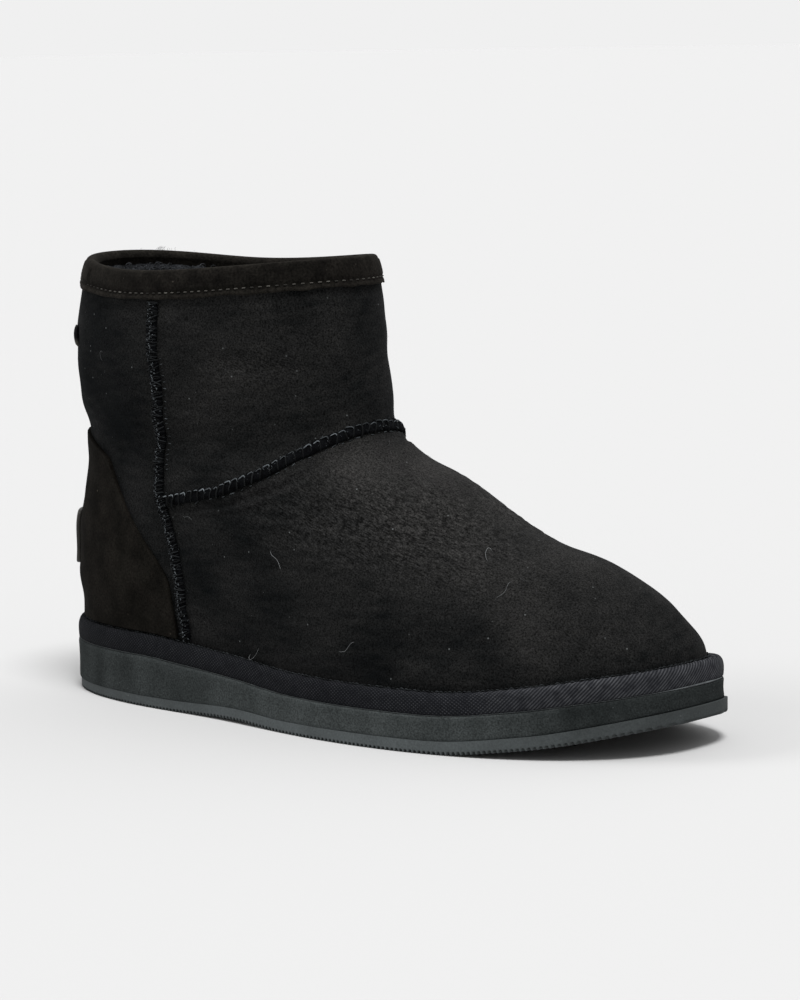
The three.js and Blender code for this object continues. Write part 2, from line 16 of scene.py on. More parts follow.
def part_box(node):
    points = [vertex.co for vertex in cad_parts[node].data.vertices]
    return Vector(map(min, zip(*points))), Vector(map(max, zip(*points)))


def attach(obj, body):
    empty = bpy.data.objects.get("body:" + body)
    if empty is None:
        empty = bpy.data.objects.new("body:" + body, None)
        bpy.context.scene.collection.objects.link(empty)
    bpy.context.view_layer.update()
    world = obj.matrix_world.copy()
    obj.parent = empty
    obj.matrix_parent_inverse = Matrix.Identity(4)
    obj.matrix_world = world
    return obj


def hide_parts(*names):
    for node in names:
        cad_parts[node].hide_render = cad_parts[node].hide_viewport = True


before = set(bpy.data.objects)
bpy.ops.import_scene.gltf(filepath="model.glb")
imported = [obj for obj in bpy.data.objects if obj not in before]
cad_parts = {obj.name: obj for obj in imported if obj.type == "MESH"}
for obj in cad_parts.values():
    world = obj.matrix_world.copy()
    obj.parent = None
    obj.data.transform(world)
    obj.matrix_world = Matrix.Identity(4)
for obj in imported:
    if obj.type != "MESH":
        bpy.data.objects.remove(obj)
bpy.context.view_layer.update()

MM = 0.001
ROOT = "root"
log = logging.getLogger("boot")
rng = np.random.default_rng(11)

Array = np.ndarray
Three = tuple[Array, Array, Array]
Lay = Callable[[Array, Array], Three]
Path = Callable[[Array], Array]
LevelOf = Callable[[Array, float], Array]
Piece = bpy.types.Object
Socket = bpy.types.NodeSocket

HEEL_MIDDLE = (60.0, 0.0, 80.0)
UPWARD = (0.0, 0.0, 1.0)
ROUND_THE_BOOT = np.array([1.0, 0.0])
EDGE_ANGLE = math.radians(50)


class Slot(str, Enum):
    """The record's material slots."""

    OUTSOLE = "outsole_rubber"
    MIDSOLE = "midsole_foam"
    TAPE = "woven_tape"
    FLEECE = "fleece"
    UPPER = "upper_suede"
    BINDING = "binding_suede"
    COUNTER = "counter_suede"
    THREAD = "seam_thread"
    LABEL = "label_rubber"


class Side(Enum):
    """The boot's two sides, with the sign of the way round from the heel."""

    OUTER = 1
    INNER = -1


# Curves and fields


def smooth_curve(keys: Array, values: Array) -> Callable[[Array], Array]:
    """A smooth curve through its points that never overshoots them.

    Args:
        keys: where the points lie, rising.
        values: the curve's value at each key.

    Returns:
        A function of a key, held at the curve's ends.
    """
    keys, values = np.asarray(keys, float), np.asarray(values, float)
    widths = np.diff(keys)
    slopes = np.diff(values) / widths
    tangents = np.zeros(len(keys))
    tangents[0], tangents[-1] = slopes[0], slopes[-1]
    for i in range(1, len(keys) - 1):
        if slopes[i - 1] * slopes[i] > 0:
            before = 2 * widths[i] + widths[i - 1]
            after = widths[i] + 2 * widths[i - 1]
            tangents[i] = (before + after) / (before / slopes[i - 1] + after / slopes[i])

    def curve(key: Array) -> Array:
        """The curve's value at a key."""
        held = np.clip(key, keys[0], keys[-1])
        i = np.clip(np.searchsorted(keys, held, side="right") - 1, 0, len(keys) - 2)
        t = (held - keys[i]) / widths[i]
        start = (1 + 2 * t) * (1 - t) ** 2 * values[i] + t * (1 - t) ** 2 * widths[i] * tangents[i]
        end = t * t * (3 - 2 * t) * values[i + 1] + t * t * (t - 1) * widths[i] * tangents[i + 1]
        return start + end

    return curve


def smooth_step(value: Array, low: float, high: float) -> Array:
    """Rises softly from 0 at low to 1 at high."""
    t = np.clip((value - low) / (high - low), 0, 1)
    return t * t * (3 - 2 * t)


def bell(distance: Array, width: Array) -> Array:
    """1 at no distance, falling softly to 0 over about two widths."""
    return np.exp(-((distance / width) ** 2))


def waves(points: Array, pitch: float, seed: int, count: int = 14) -> Array:
    """A soft random field from -1 to about 1, made of crossing waves.

    Args:
        points: places in millimetres.
        pitch: about how far apart its swells lie, in millimetres.
        seed: which field.
        count: how many waves cross.

    Returns:
        The field's value at each place.
    """
    draw = np.random.default_rng(seed)
    ways = draw.normal(size=(count, 3))
    ways /= np.linalg.norm(ways, axis=1, keepdims=True)
    turns = 2 * np.pi / pitch * draw.uniform(0.7, 1.4, count)
    starts = draw.uniform(0, 2 * np.pi, count)
    return np.sin(points @ ways.T * turns + starts).sum(-1) / math.sqrt(count / 2) / 1.6


def unit(vectors: Array) -> Array:
    """Each vector at length one."""
    return vectors / np.maximum(np.linalg.norm(vectors, axis=-1, keepdims=True), 1e-12)


def dot(a: Array, b: Array) -> Array:
    """The dot product of each pair of vectors."""
    return (a * b).sum(-1)


def turned(side: Array, ahead: Array, turn: Array) -> tuple[Array, Array]:
    """Two crossing ways, turned in their plane by radians."""
    cos, sin = np.cos(turn)[:, None], np.sin(turn)[:, None]
    return side * cos - ahead * sin, ahead * cos + side * sin


def columns(*parts: Array | float) -> Array:
    """The parts side by side, a row for each point."""
    return np.stack(np.broadcast_arrays(*parts), -1)


def rows_at(table: Array, share: Array) -> Array:
    """The columns of a table's rows, taken at even shares of its length."""
    return table[np.round(share * (len(table) - 1)).astype(int)].T


def walked(points: Array) -> Array:
    """How far along a sampled line each of its points lies."""
    return np.concatenate([[0], np.cumsum(np.linalg.norm(np.diff(points, axis=0), axis=1))])


def from_heel(around: Array) -> Array:
    """The share of the way round from the heel, on either side."""
    return np.abs(np.mod(around + 0.5, 1) - 0.5)


@dataclass(frozen=True)
class Crease:
    """A soft trough pressed into the skin from start to end, or a ridge where its depth is negative.

    start, end and the places between them give the share of the way round from the heel and of the
    way up to the rim.
    """

    start: tuple[float, float]
    end: tuple[float, float]
    width: float
    depth: float
    between: tuple[tuple[float, float], ...] = ()

    def line(self, count: int) -> Array:
        """Evenly spread places along the crease, as shares round and up."""
        stops = np.array([self.start, *self.between, self.end])
        share = np.linspace(0, len(stops) - 1, count)
        return np.stack([np.interp(share, range(len(stops)), column) for column in stops.T], -1)


CREASES = (
    # the bend of the ankle, over the instep seam
    Crease((0.36, 0.612), (0.64, 0.612), 6.0, 0.9),
    # the swell under the instep seam and the dip below it
    Crease((0.43, 0.548), (0.60, 0.545), 6.5, -1.0),
    Crease((0.44, 0.490), (0.56, 0.500), 5.0, 0.5),
    # the fold behind the ankle, over the heel patch
    Crease((-0.12, 0.560), (0.12, 0.560), 4.0, 0.7),
    # soft folds of the shaft
    Crease((0.29, 0.775), (0.42, 0.735), 3.5, 0.65),
    Crease((0.33, 0.700), (0.46, 0.690), 4.0, 0.55),
    Crease((0.27, 0.645), (0.36, 0.640), 4.0, 0.40),
    Crease((0.55, 0.760), (0.68, 0.735), 4.5, 0.45),
    Crease((0.60, 0.680), (0.70, 0.690), 5.0, 0.40),
    # bending folds of the vamp on its outer side
    Crease((0.245, 0.470), (0.345, 0.447), 1.7, 0.42),
    Crease((0.262, 0.440), (0.350, 0.424), 1.4, 0.36),
    Crease((0.252, 0.412), (0.330, 0.395), 1.6, 0.40),
    Crease((0.300, 0.390), (0.395, 0.372), 1.5, 0.34),
    Crease((0.268, 0.372), (0.340, 0.352), 1.4, 0.30),
    Crease((0.310, 0.350), (0.400, 0.332), 1.5, 0.30),
    Crease((0.330, 0.470), (0.420, 0.455), 1.5, 0.30),
    Crease((0.355, 0.436), (0.435, 0.420), 1.5, 0.28),
    # and on its inner side
    Crease((0.650, 0.455), (0.745, 0.470), 1.8, 0.42),
    Crease((0.660, 0.420), (0.735, 0.440), 1.5, 0.36),
    Crease((0.640, 0.390), (0.730, 0.405), 1.6, 0.36),
    Crease((0.625, 0.350), (0.700, 0.368), 1.5, 0.30),
    # the groove and the fine raised line under the instep seam, on both sides
    Crease(
        (0.212, 0.400), (0.50, 0.580), 1.2, 1.0,
        ((0.232, 0.414), (0.287, 0.455), (0.378, 0.525), (0.424, 0.556)),
    ),
    Crease(
        (0.788, 0.400), (0.50, 0.580), 1.2, 1.0,
        ((0.768, 0.414), (0.713, 0.455), (0.622, 0.525), (0.576, 0.556)),
    ),
    Crease(
        (0.215, 0.388), (0.45, 0.560), 0.9, -0.5,
        ((0.232, 0.402), (0.287, 0.443), (0.378, 0.513), (0.424, 0.545)),
    ),
    # the roll where the vamp meets the sole at the ball
    Crease((0.270, 0.150), (0.375, 0.150), 7.0, 0.5),
    Crease((0.630, 0.150), (0.720, 0.150), 7.0, 0.5),
)

SHORT_SAMPLES = 18
LONG_SAMPLES = 60
FINE_FOLDS = 44
FINE_FOLD_FIELD = ((0.255, 0.420), (0.325, 0.485))
FINE_FOLD_LENGTH = (0.020, 0.055)
FINE_FOLD_DROP = 0.14
FINE_FOLD_WIDTH = (0.7, 1.1)
FINE_FOLD_DEPTH = (0.18, 0.34)


def fine_folds() -> list[Crease]:
    """Short fine folds that fill the bending part of the vamp, on both sides."""
    draw = np.random.default_rng(5)
    (left, right), (low, high) = FINE_FOLD_FIELD
    found = []
    for _ in range(FINE_FOLDS):
        around, level = draw.uniform(left, right), draw.uniform(low, high)
        length = draw.uniform(*FINE_FOLD_LENGTH)
        width, depth = draw.uniform(*FINE_FOLD_WIDTH), draw.uniform(*FINE_FOLD_DEPTH)
        end = (around + length, level - FINE_FOLD_DROP * length)
        found.append(Crease((around, level), end, width, depth))
        found.append(Crease((1 - around, level), (1 - end[0], end[1]), width, depth))
    return found


@dataclass
class Last:
    """The boot's form: the sole's outline and heights, and the rings of its upper, in millimetres.

    It has its own frame: the heel's end of the sole at x 0, +X to the toe, and the outer side at -Y.
    """

    sole_length: float = 285.0
    ball_width: float = 105.0
    widest: float = 0.614
    outer_share: float = 0.523
    inner_share: float = 0.477
    back_curve: float = 2.43
    front_curve: float = 2.52
    toe_swing: float = 19.5
    swing_from: float = 0.42
    swing_power: float = 1.6
    waist_pinch: float = 8.8
    inner_pinch: float = 1.6
    waist_at: float = 0.368
    waist_spread: float = 0.193
    pinch_fade: float = 1.5
    toe_spring: float = 11.0
    arch_rise: float = 1.0
    heel_bevel: float = 0.8
    outsole_heel: float = 4.0
    outsole_toe: float = 5.2
    midsole_heel: float = 15.8
    midsole_ball: float = 9.2
    midsole_toe: float = 7.5
    upper_height: float = 151.0
    ankle_height: float = 81.5
    shaft_length: float = 139.0
    shaft_width: float = 82.5
    collar_dip: float = 5.0
    dip_at: float = 0.43
    wall: float = 2.6
    tape_reach: float = 4.5
    tape_height: float = 7.8
    gap: float = 0.3
    trim_gap: float = 0.9
    probe: float = 0.001
    # about how far it is round the sole, the upper and the shaft, for flat places
    sole_round: float = 660.0
    upper_round: float = 600.0
    shaft_round: float = 500.0
    stations: int = 56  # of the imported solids' outlines

    # height, pitch and field of the skin's soft swells
    swells: tuple = ((0.55, 62, 3), (0.16, 17, 4))
    # at, bevel, arch, spring
    floor_profile: tuple = (
        (0, 1, 0, 0), (0.042, 0, 0, 0), (0.263, 0, 0, 0), (0.404, 0, 1, 0),
        (0.51, 0, 0, 0), (0.735, 0, 0, 0), (0.86, 0, 0, 0.3), (1, 0, 0, 1),
    )
    # at, heel, ball, toe
    wedge_profile: tuple = (
        (0, 1, 0, 0), (0.21, 1, 0, 0), (0.42, 0.28, 0.72, 0), (0.6, 0.02, 0.98, 0),
        (0.88, 0, 0.95, 0.05), (1, 0, 0, 1),
    )
    # rise, heel, toe, widest, outer, inner, back curve, front curve, waist
    foot_rings: tuple = (
        (0.13, 0.0150, 0.979, 0.611, 0.485, 0.438, 2.43, 2.48, 0.90),
        (0.333, 0.0035, 0.943, 0.589, 0.472, 0.434, 2.40, 2.20, 0.60),
        (0.52, 0.0050, 0.865, 0.526, 0.440, 0.416, 2.35, 2.05, 0.30),
        (0.705, 0.0180, 0.744, 0.439, 0.414, 0.400, 2.25, 2.00, 0.10),
        (0.89, 0.0265, 0.642, 0.351, 0.380, 0.376, 2.20, 2.00, 0.00),
    )
    shaft_rings: tuple = (
        (0.04, 0.050, 1.112, 0.604, 0.467, 0.461, 2.15, 2.10, 0),
        (0.22, 0.037, 1.069, 0.547, 0.491, 0.485, 2.15, 2.15, 0),
        (0.565, 0.039, 1.040, 0.518, 0.503, 0.497, 2.20, 2.20, 0),
        (0.85, 0.062, 1.027, 0.523, 0.491, 0.487, 2.20, 2.20, 0),
        (1, 0.088, 1.008, 0.525, 0.475, 0.470, 2.20, 2.20, 0),
    )
    creases: list = field(default_factory=lambda: [*CREASES, *fine_folds()])

    def __post_init__(self) -> None:
        """Works out the curves of its tables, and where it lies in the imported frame."""
        profiles = (np.array(profile).T for profile in (self.floor_profile, self.wedge_profile))
        self.rises, self.wedges = (
            [smooth_curve(at * self.sole_length, part) for part in profile] for at, *profile in profiles
        )
        dip_from_heel = [0, self.dip_at * self.shaft_length, self.shaft_length]
        self.dip_share = smooth_curve(dip_from_heel, [0, 1, 0])
        ankle = self.ankle_height / self.upper_height
        rows = [(0, *self.sole_ring(self.tape_reach))]
        for rise, *parts in self.foot_rings:
            rows.append((rise * ankle, *self.sized(parts, self.sole_length, self.ball_width)))
        for rise, *parts in self.shaft_rings:
            level = ankle + rise * (1 - ankle)
            rows.append((level, *self.sized(parts, self.shaft_length, self.shaft_width)))
        table = np.array(rows, float).T
        self.ring_curves = [smooth_curve(table[0], column) for column in table[1:]]
        low, high = (np.array(corner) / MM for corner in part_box("midsole"))
        outline = self.outline(np.arange(self.stations) / self.stations, 0)
        middle = (outline[:, 1].min() + outline[:, 1].max()) / 2
        self.shift = np.array([low[0], (low[1] + high[1]) / 2 - middle, 0])

    def sized(self, parts: list, length: float, width: float) -> tuple:
        """A ring's parts in millimetres, from its shares of a length and a width."""
        heel, toe, widest, outer, inner, back, front, waist = parts
        lengths = (heel * length, toe * length, widest * length)
        return (*lengths, outer * width, inner * width, back, front, waist * self.waist_pinch)

    def sole_ring(self, inset: float) -> tuple:
        """The ring of the sole's outline, drawn in."""
        widths = (self.outer_share * self.ball_width - inset, self.inner_share * self.ball_width - inset)
        lengths = (inset, self.sole_length - inset, self.widest * self.sole_length)
        return (*lengths, *widths, self.back_curve, self.front_curve, self.waist_pinch)

    def swing(self, x: Array) -> Array:
        """How far the foot turns to the inner side at x."""
        start = self.swing_from * self.sole_length
        share = np.clip((x - start) / (self.sole_length - start), 0, 1)
        return self.toe_swing * share**self.swing_power

    def waist(self, x: Array, across: Array, pinch: Array) -> Array:
        """How far the outline is drawn in at x, on the side that across gives."""
        near = bell(x - self.waist_at * self.sole_length, self.waist_spread * self.sole_length)
        side = np.where(across > 0, 1, self.inner_pinch)
        return pinch * side * near * np.minimum(1, self.pinch_fade * np.abs(across))

    def ring_point(self, ring: tuple, around: Array) -> tuple[Array, Array]:
        """The place on a ring, a share of the way round from the heel past the outer side."""
        heel, toe, widest, outer, inner, back, front, pinch = ring
        along, across = np.cos(2 * np.pi * around), np.sin(2 * np.pi * around)
        power = 2 / np.where(along > 0, back, front)
        reach = np.where(along > 0, widest - heel, toe - widest)
        x = widest - reach * np.sign(along) * np.abs(along) ** power
        half = np.where(across > 0, outer, inner) * np.abs(across) ** power
        y = np.sign(across) * (self.waist(x, across, pinch) - half) + self.swing(x)
        return x, y

    def outline(self, around: Array, inset: float) -> Array:
        """Places on the sole's outline, drawn in."""
        return columns(*self.ring_point(self.sole_ring(inset), around))

    def outsole_bottom(self, x: Array) -> Array:
        """Height of the tread at x."""
        bevel, arch, spring = (rise(x) for rise in self.rises)
        return self.heel_bevel * bevel + self.arch_rise * arch + self.toe_spring * spring

    def outsole_top(self, x: Array) -> Array:
        """Height of the outsole's upper face at x."""
        at = np.clip(x / self.sole_length, 0, 1)
        return self.outsole_bottom(x) + self.outsole_heel + (self.outsole_toe - self.outsole_heel) * at

    def midsole_top(self, x: Array) -> Array:
        """Height of the midsole's upper face at x."""
        heel, ball, toe = (wedge(x) for wedge in self.wedges)
        thick = self.midsole_heel * heel + self.midsole_ball * ball + self.midsole_toe * toe
        return self.outsole_top(x) + thick

    def upper_foot(self, x: Array) -> Array:
        """Height of the upper's lower edge at x."""
        return self.midsole_top(x) + self.gap

    def rim(self, x: Array) -> Array:
        """Height of the rim at x."""
        return self.upper_foot(np.zeros(1))[0] + self.upper_height - self.collar_dip * self.dip_share(x)

    def skin(self, around: Array, level: Array) -> Array:
        """Places on the upper's smooth outer face."""
        around, level = np.broadcast_arrays(np.asarray(around, float), np.asarray(level, float))
        x, y = self.ring_point(tuple(curve(level) for curve in self.ring_curves), around)
        foot = self.upper_foot(x)
        return columns(x, y, foot + level * (self.rim(x) - foot))

    def slopes(self, around: Array, level: Array) -> tuple[Array, Array]:
        """How the skin's place changes going round and going up."""
        above, below = np.minimum(level + self.probe, 1), np.maximum(level - self.probe, 0)
        going_round = self.skin(around + self.probe, level) - self.skin(around - self.probe, level)
        going_up = self.skin(around, above) - self.skin(around, below)
        return going_round / (2 * self.probe), going_up / np.asarray(above - below)[..., None]

    def normal(self, around: Array, level: Array) -> Array:
        """The way out of the skin."""
        return unit(np.cross(*self.slopes(around, level)))

    def relief(self, around: Array, level: Array, place: Array) -> Array:
        """How far the worn skin stands out from the smooth one, faded out at its foot and rim.

        Args:
            around: share of the way round from the heel.
            level: share of the way up to the rim.
            place: the smooth skin's place there.

        Returns:
            Millimetres outwards.
        """
        high = sum(height * waves(place, pitch, seed) for height, pitch, seed in self.swells)
        for crease in self.creases:
            share = np.linspace(0, 1, LONG_SAMPLES if crease.between else SHORT_SAMPLES)
            line_around, line_level = crease.line(len(share)).T
            line = self.skin(line_around, line_level)
            near = from_heel(around - line_around.mean()) < np.ptp(line_around) / 2 + 0.06
            near &= np.abs(level - line_level.mean()) < np.ptp(line_level) / 2 + 4 * crease.width / 120
            if not near.any():
                continue
            away = np.linalg.norm(place[near][:, None] - line[None], axis=-1)
            ends = np.sin(np.pi * np.clip(share[away.argmin(1)], 0.02, 0.98)) ** 0.6
            distance = away.min(1)
            trough = bell(distance, crease.width) - 0.4 * bell(distance - 2 * crease.width, crease.width)
            high[near] -= crease.depth * ends * trough
        return high * smooth_step(level, 0.0, 0.1) * (1 - smooth_step(level, 0.86, 0.94))

    def surface(self, around: Array, level: Array, lift: Array = 0.0) -> Array:
        """Places on the worn skin, lifted off it by millimetres."""
        around, level = np.broadcast_arrays(np.asarray(around, float), np.asarray(level, float))
        place = self.skin(around, level)
        rise = self.relief(around, level, place) + lift
        return place + self.normal(around, level) * np.asarray(rise)[..., None]

    def beside(self, around: Array, level: Array, onward: Array, sideways: Array) -> tuple[Array, Array]:
        """The places reached by going sideways over the skin from a route.

        Args:
            around: share of the way round along the route.
            level: share of the way up along the route.
            onward: the route's direction in those two shares.
            sideways: millimetres, positive to the right of the route seen from outside.

        Returns:
            The new shares of the way round and up.
        """
        going_round, going_up = self.slopes(around, level)
        side = self.axes(around, level, onward)[0] * np.asarray(sideways)[..., None]
        rr, ru, uu = dot(going_round, going_round), dot(going_round, going_up), dot(going_up, going_up)
        scale = rr * uu - ru * ru
        step_around = (dot(side, going_round) * uu - dot(side, going_up) * ru) / scale
        step_level = (dot(side, going_up) * rr - dot(side, going_round) * ru) / scale
        return around + step_around, level + step_level

    def level_of_height(self, around: Array, height: Array) -> Array:
        """The level that lies a height over the sole's upper face."""
        foot = self.skin(around, 0.0)
        return height / (self.rim(foot[..., 0]) - foot[..., 2])

    def level_of_drop(self, around: Array, drop: Array) -> Array:
        """The level that lies a drop under the rim."""
        top = self.skin(around, 1.0)
        return 1 - drop / (top[..., 2] - self.upper_foot(top[..., 0]))

    def axes(self, around: Array, level: Array, onward: Array = ROUND_THE_BOOT, facing: int = 1) -> Three:
        """Three crossing ways on the skin.

        Args:
            around: share of the way round from the heel.
            level: share of the way up to the rim.
            onward: a direction in those two shares.
            facing: 1 for out of the skin, -1 for into it.

        Returns:
            The ways sideways, ahead and out.
        """
        going_round, going_up = self.slopes(around, level)
        ahead = unit(going_round * onward[..., :1] + going_up * onward[..., 1:])
        out = facing * unit(np.cross(going_round, going_up))
        return np.cross(ahead, out), ahead, out

    def marks(self, level_of: LevelOf, deep: float, pitch: float, samples: int) -> tuple[Array, Array]:
        """Marks at an even pitch round the boot, at a height or a drop, and their levels."""
        line = np.linspace(0, 1, samples)
        marks = spaced(self.skin(line, level_of(line, deep)), pitch)
        return marks, level_of(marks, deep)

    def around_at(self, levels: Array, distances: Array) -> Array:
        """Shares of the way round, at distances from the heel's middle that are walked over the skin."""
        turn = np.linspace(-0.2, 0.2, 4001)
        shares = []
        for level, distance in zip(levels, distances):
            far = walked(self.skin(turn, level))
            shares.append(np.interp(distance, far - np.interp(0, turn, far), turn))
        return np.array(shares)

    def to_frame(self, points: Array) -> Array:
        """Millimetres in the boot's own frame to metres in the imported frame."""
        return (points + self.shift) * MM


# Meshes


def select_only(piece: Piece) -> None:
    """Selects one object and makes it the active one."""
    bpy.ops.object.select_all(action="DESELECT")
    piece.select_set(True)
    bpy.context.view_layer.objects.active = piece


def seal(piece: Piece) -> None:
    """Merges doubled points, turns the faces out and shades the piece smooth."""
    select_only(piece)
    bpy.ops.object.mode_set(mode="EDIT")
    bpy.ops.mesh.select_all(action="SELECT")
    bpy.ops.mesh.remove_doubles(threshold=1e-6)
    bpy.ops.mesh.normals_make_consistent(inside=False)
    bpy.ops.object.mode_set(mode="OBJECT")
    bpy.ops.object.shade_smooth()


def laid_grid(name: str, across: int, up: int, lay: Lay, shift: Array | float = 0.0) -> Piece:
    """Adds a grid and lays each of its points, with its flat place and its tone.

    Args:
        name: the piece's name.
        across: faces across the grid.
        up: faces up the grid.
        lay: turns the shares across and up into a place, a flat place for the surface's pattern, both
            in millimetres, and a tone from 0 to 1, or a tone and how far the skin bends.
        shift: millimetres from the places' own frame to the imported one.

    Returns:
        The sealed piece.
    """
    bpy.ops.object.select_all(action="DESELECT")
    bpy.ops.mesh.primitive_grid_add(x_subdivisions=across, y_subdivisions=up, size=2, calc_uvs=True)
    piece = bpy.context.active_object
    piece.name = name
    mesh = piece.data
    mesh.name = name
    places = np.empty(len(mesh.vertices) * 3)
    mesh.vertices.foreach_get("co", places)
    shares = np.round(places.reshape(-1, 3)[:, :2] / 2 + 0.5, 7)
    points, flat, tone = lay(shares[:, 0], shares[:, 1])
    mesh.vertices.foreach_set("co", ((points + shift) * MM).ravel())
    corners = np.empty(len(mesh.loops), dtype=np.int32)
    mesh.loops.foreach_get("vertex_index", corners)
    mesh.uv_layers.active.data.foreach_set("uv", (flat * MM)[corners].ravel())
    for field_name, shade in zip(("tone", "bend"), np.atleast_2d(tone)):
        layer = mesh.attributes.new(field_name, "FLOAT", "POINT")
        layer.data.foreach_set("value", np.broadcast_to(shade, len(points)).astype(np.float32))
    mesh.update()
    seal(piece)
    return piece


def apply_modifier(piece: Piece, kind: str, **settings: object) -> None:
    """Adds a modifier to the piece and applies it."""
    select_only(piece)
    modifier = piece.modifiers.new(kind.title(), kind)
    for name, value in settings.items():
        setattr(modifier, name, value)
    bpy.ops.object.modifier_apply(modifier=modifier.name)


def strand(name: str, path: Path, radius: float, sides: int, segments: int) -> Piece:
    """A short piece of thread or hair with pointed ends, to be copied.

    Args:
        name: the model's name.
        path: its middle line in millimetres at shares of its length.
        radius: of the thread, in millimetres.
        sides: faces round it.
        segments: faces along it.

    Returns:
        The model.
    """

    def lay(turn: Array, along: Array) -> Three:
        """Lays the thread's skin round its middle line."""
        ahead = unit(path(np.minimum(along + 0.01, 1)) - path(np.maximum(along - 0.01, 0)))
        side = unit(np.cross(ahead, [0.13, 0.21, 0.97]))
        over = np.cross(side, ahead)
        thick = radius * np.sqrt(np.clip(1 - (2 * along - 1) ** 8, 0, 1))
        angle = 2 * np.pi * turn
        spoke = side * np.cos(angle)[:, None] + over * np.sin(angle)[:, None]
        return path(along) + spoke * thick[:, None], columns(angle * radius, along * 4), np.zeros(1)

    return laid_grid(name, sides, segments, lay)


def strewn(name: str, models: list[Piece], frames: Array, tones: Array) -> Piece:
    """Joins copies of small models into one mesh, and removes the models.

    Args:
        name: the piece's name.
        models: the models, taken in turn.
        frames: a 3 by 4 matrix for each copy: its three axes and its place in metres.
        tones: a tone for each copy.

    Returns:
        The joined piece.
    """
    points, faces, shades, start = [], [], [], 0
    for turn, model in enumerate(models):
        local = np.array([vertex.co for vertex in model.data.vertices])
        polygons = [tuple(polygon.vertices) for polygon in model.data.polygons]
        for matrix, tone in zip(frames[turn :: len(models)], tones[turn :: len(models)]):
            points.append(local @ matrix[:, :3].T + matrix[:, 3])
            faces += [tuple(start + corner for corner in polygon) for polygon in polygons]
            shades.append(np.full(len(local), tone))
            start += len(local)
        bpy.data.objects.remove(model)
    mesh = bpy.data.meshes.new(name)
    mesh.from_pydata(np.concatenate(points).tolist(), [], faces)
    shade = mesh.attributes.new("tone", "FLOAT", "POINT")
    shade.data.foreach_set("value", np.concatenate(shades).astype(np.float32))
    mesh.shade_smooth()
    mesh.validate()
    piece = bpy.data.objects.new(name, mesh)
    bpy.context.scene.collection.objects.link(piece)
    return piece


def frames_at(places: Array, side: Array, ahead: Array, out: Array, scale: Array | float = 1.0) -> Array:
    """A 3 by 4 matrix for each place, with its three axes as columns, scaled."""
    axes = np.stack([side, ahead, out], -1) * np.broadcast_to(scale, len(places))[:, None, None]
    return np.concatenate([axes, places[:, :, None]], -1)


def spaced(points: Array, pitch: float) -> Array:
    """Shares of a sampled line at which marks lie an even pitch apart.

    Args:
        points: the line's samples at even shares.
        pitch: millimetres between marks.

    Returns:
        The marks' shares, from 0 to 1.
    """
    far = walked(points)
    count = max(int(round(far[-1] / pitch)), 1)
    marks = (np.arange(count) + 0.5) * far[-1] / count
    return np.interp(marks, far, np.linspace(0, 1, len(points)))


# Finishes


def linear(colour: str) -> tuple[float, float, float, float]:
    """An sRGB hex colour as linear red, green, blue and alpha."""
    channels = [int(colour[i : i + 2], 16) / 255 for i in (1, 3, 5)]
    return (*(c / 12.92 if c <= 0.04045 else ((c + 0.055) / 1.055) ** 2.4 for c in channels), 1.0)


class Shading:
    """The node tree of a new material, with its shader and output in place."""

    def __init__(self, name: str) -> None:
        """Starts the material."""
        self.material = bpy.data.materials.new(name)
        self.material.use_nodes = True
        self.tree = self.material.node_tree
        self.tree.nodes.clear()
        self.shader = self.add("ShaderNodeBsdfPrincipled")
        self.add("ShaderNodeOutputMaterial", {"Surface": self.shader.outputs[0]})

    def add(self, kind: str, inputs: dict | None = None, **settings: object) -> bpy.types.Node:
        """Adds a node.

        Args:
            kind: the node's type.
            inputs: a value, or a node or socket to link, for each named or numbered input.
            settings: the node's own properties.

        Returns:
            The node.
        """
        node = self.tree.nodes.new(kind)
        for name, value in settings.items():
            setattr(node, name, value)
        self.feed(node, inputs or {})
        return node

    def feed(self, node: bpy.types.Node, inputs: dict) -> None:
        """Sets or links the inputs of a node."""
        for key, value in inputs.items():
            if isinstance(value, bpy.types.Node):
                value = value.outputs[0]
            if isinstance(value, Socket):
                self.tree.links.new(value, node.inputs[key])
            else:
                node.inputs[key].default_value = value


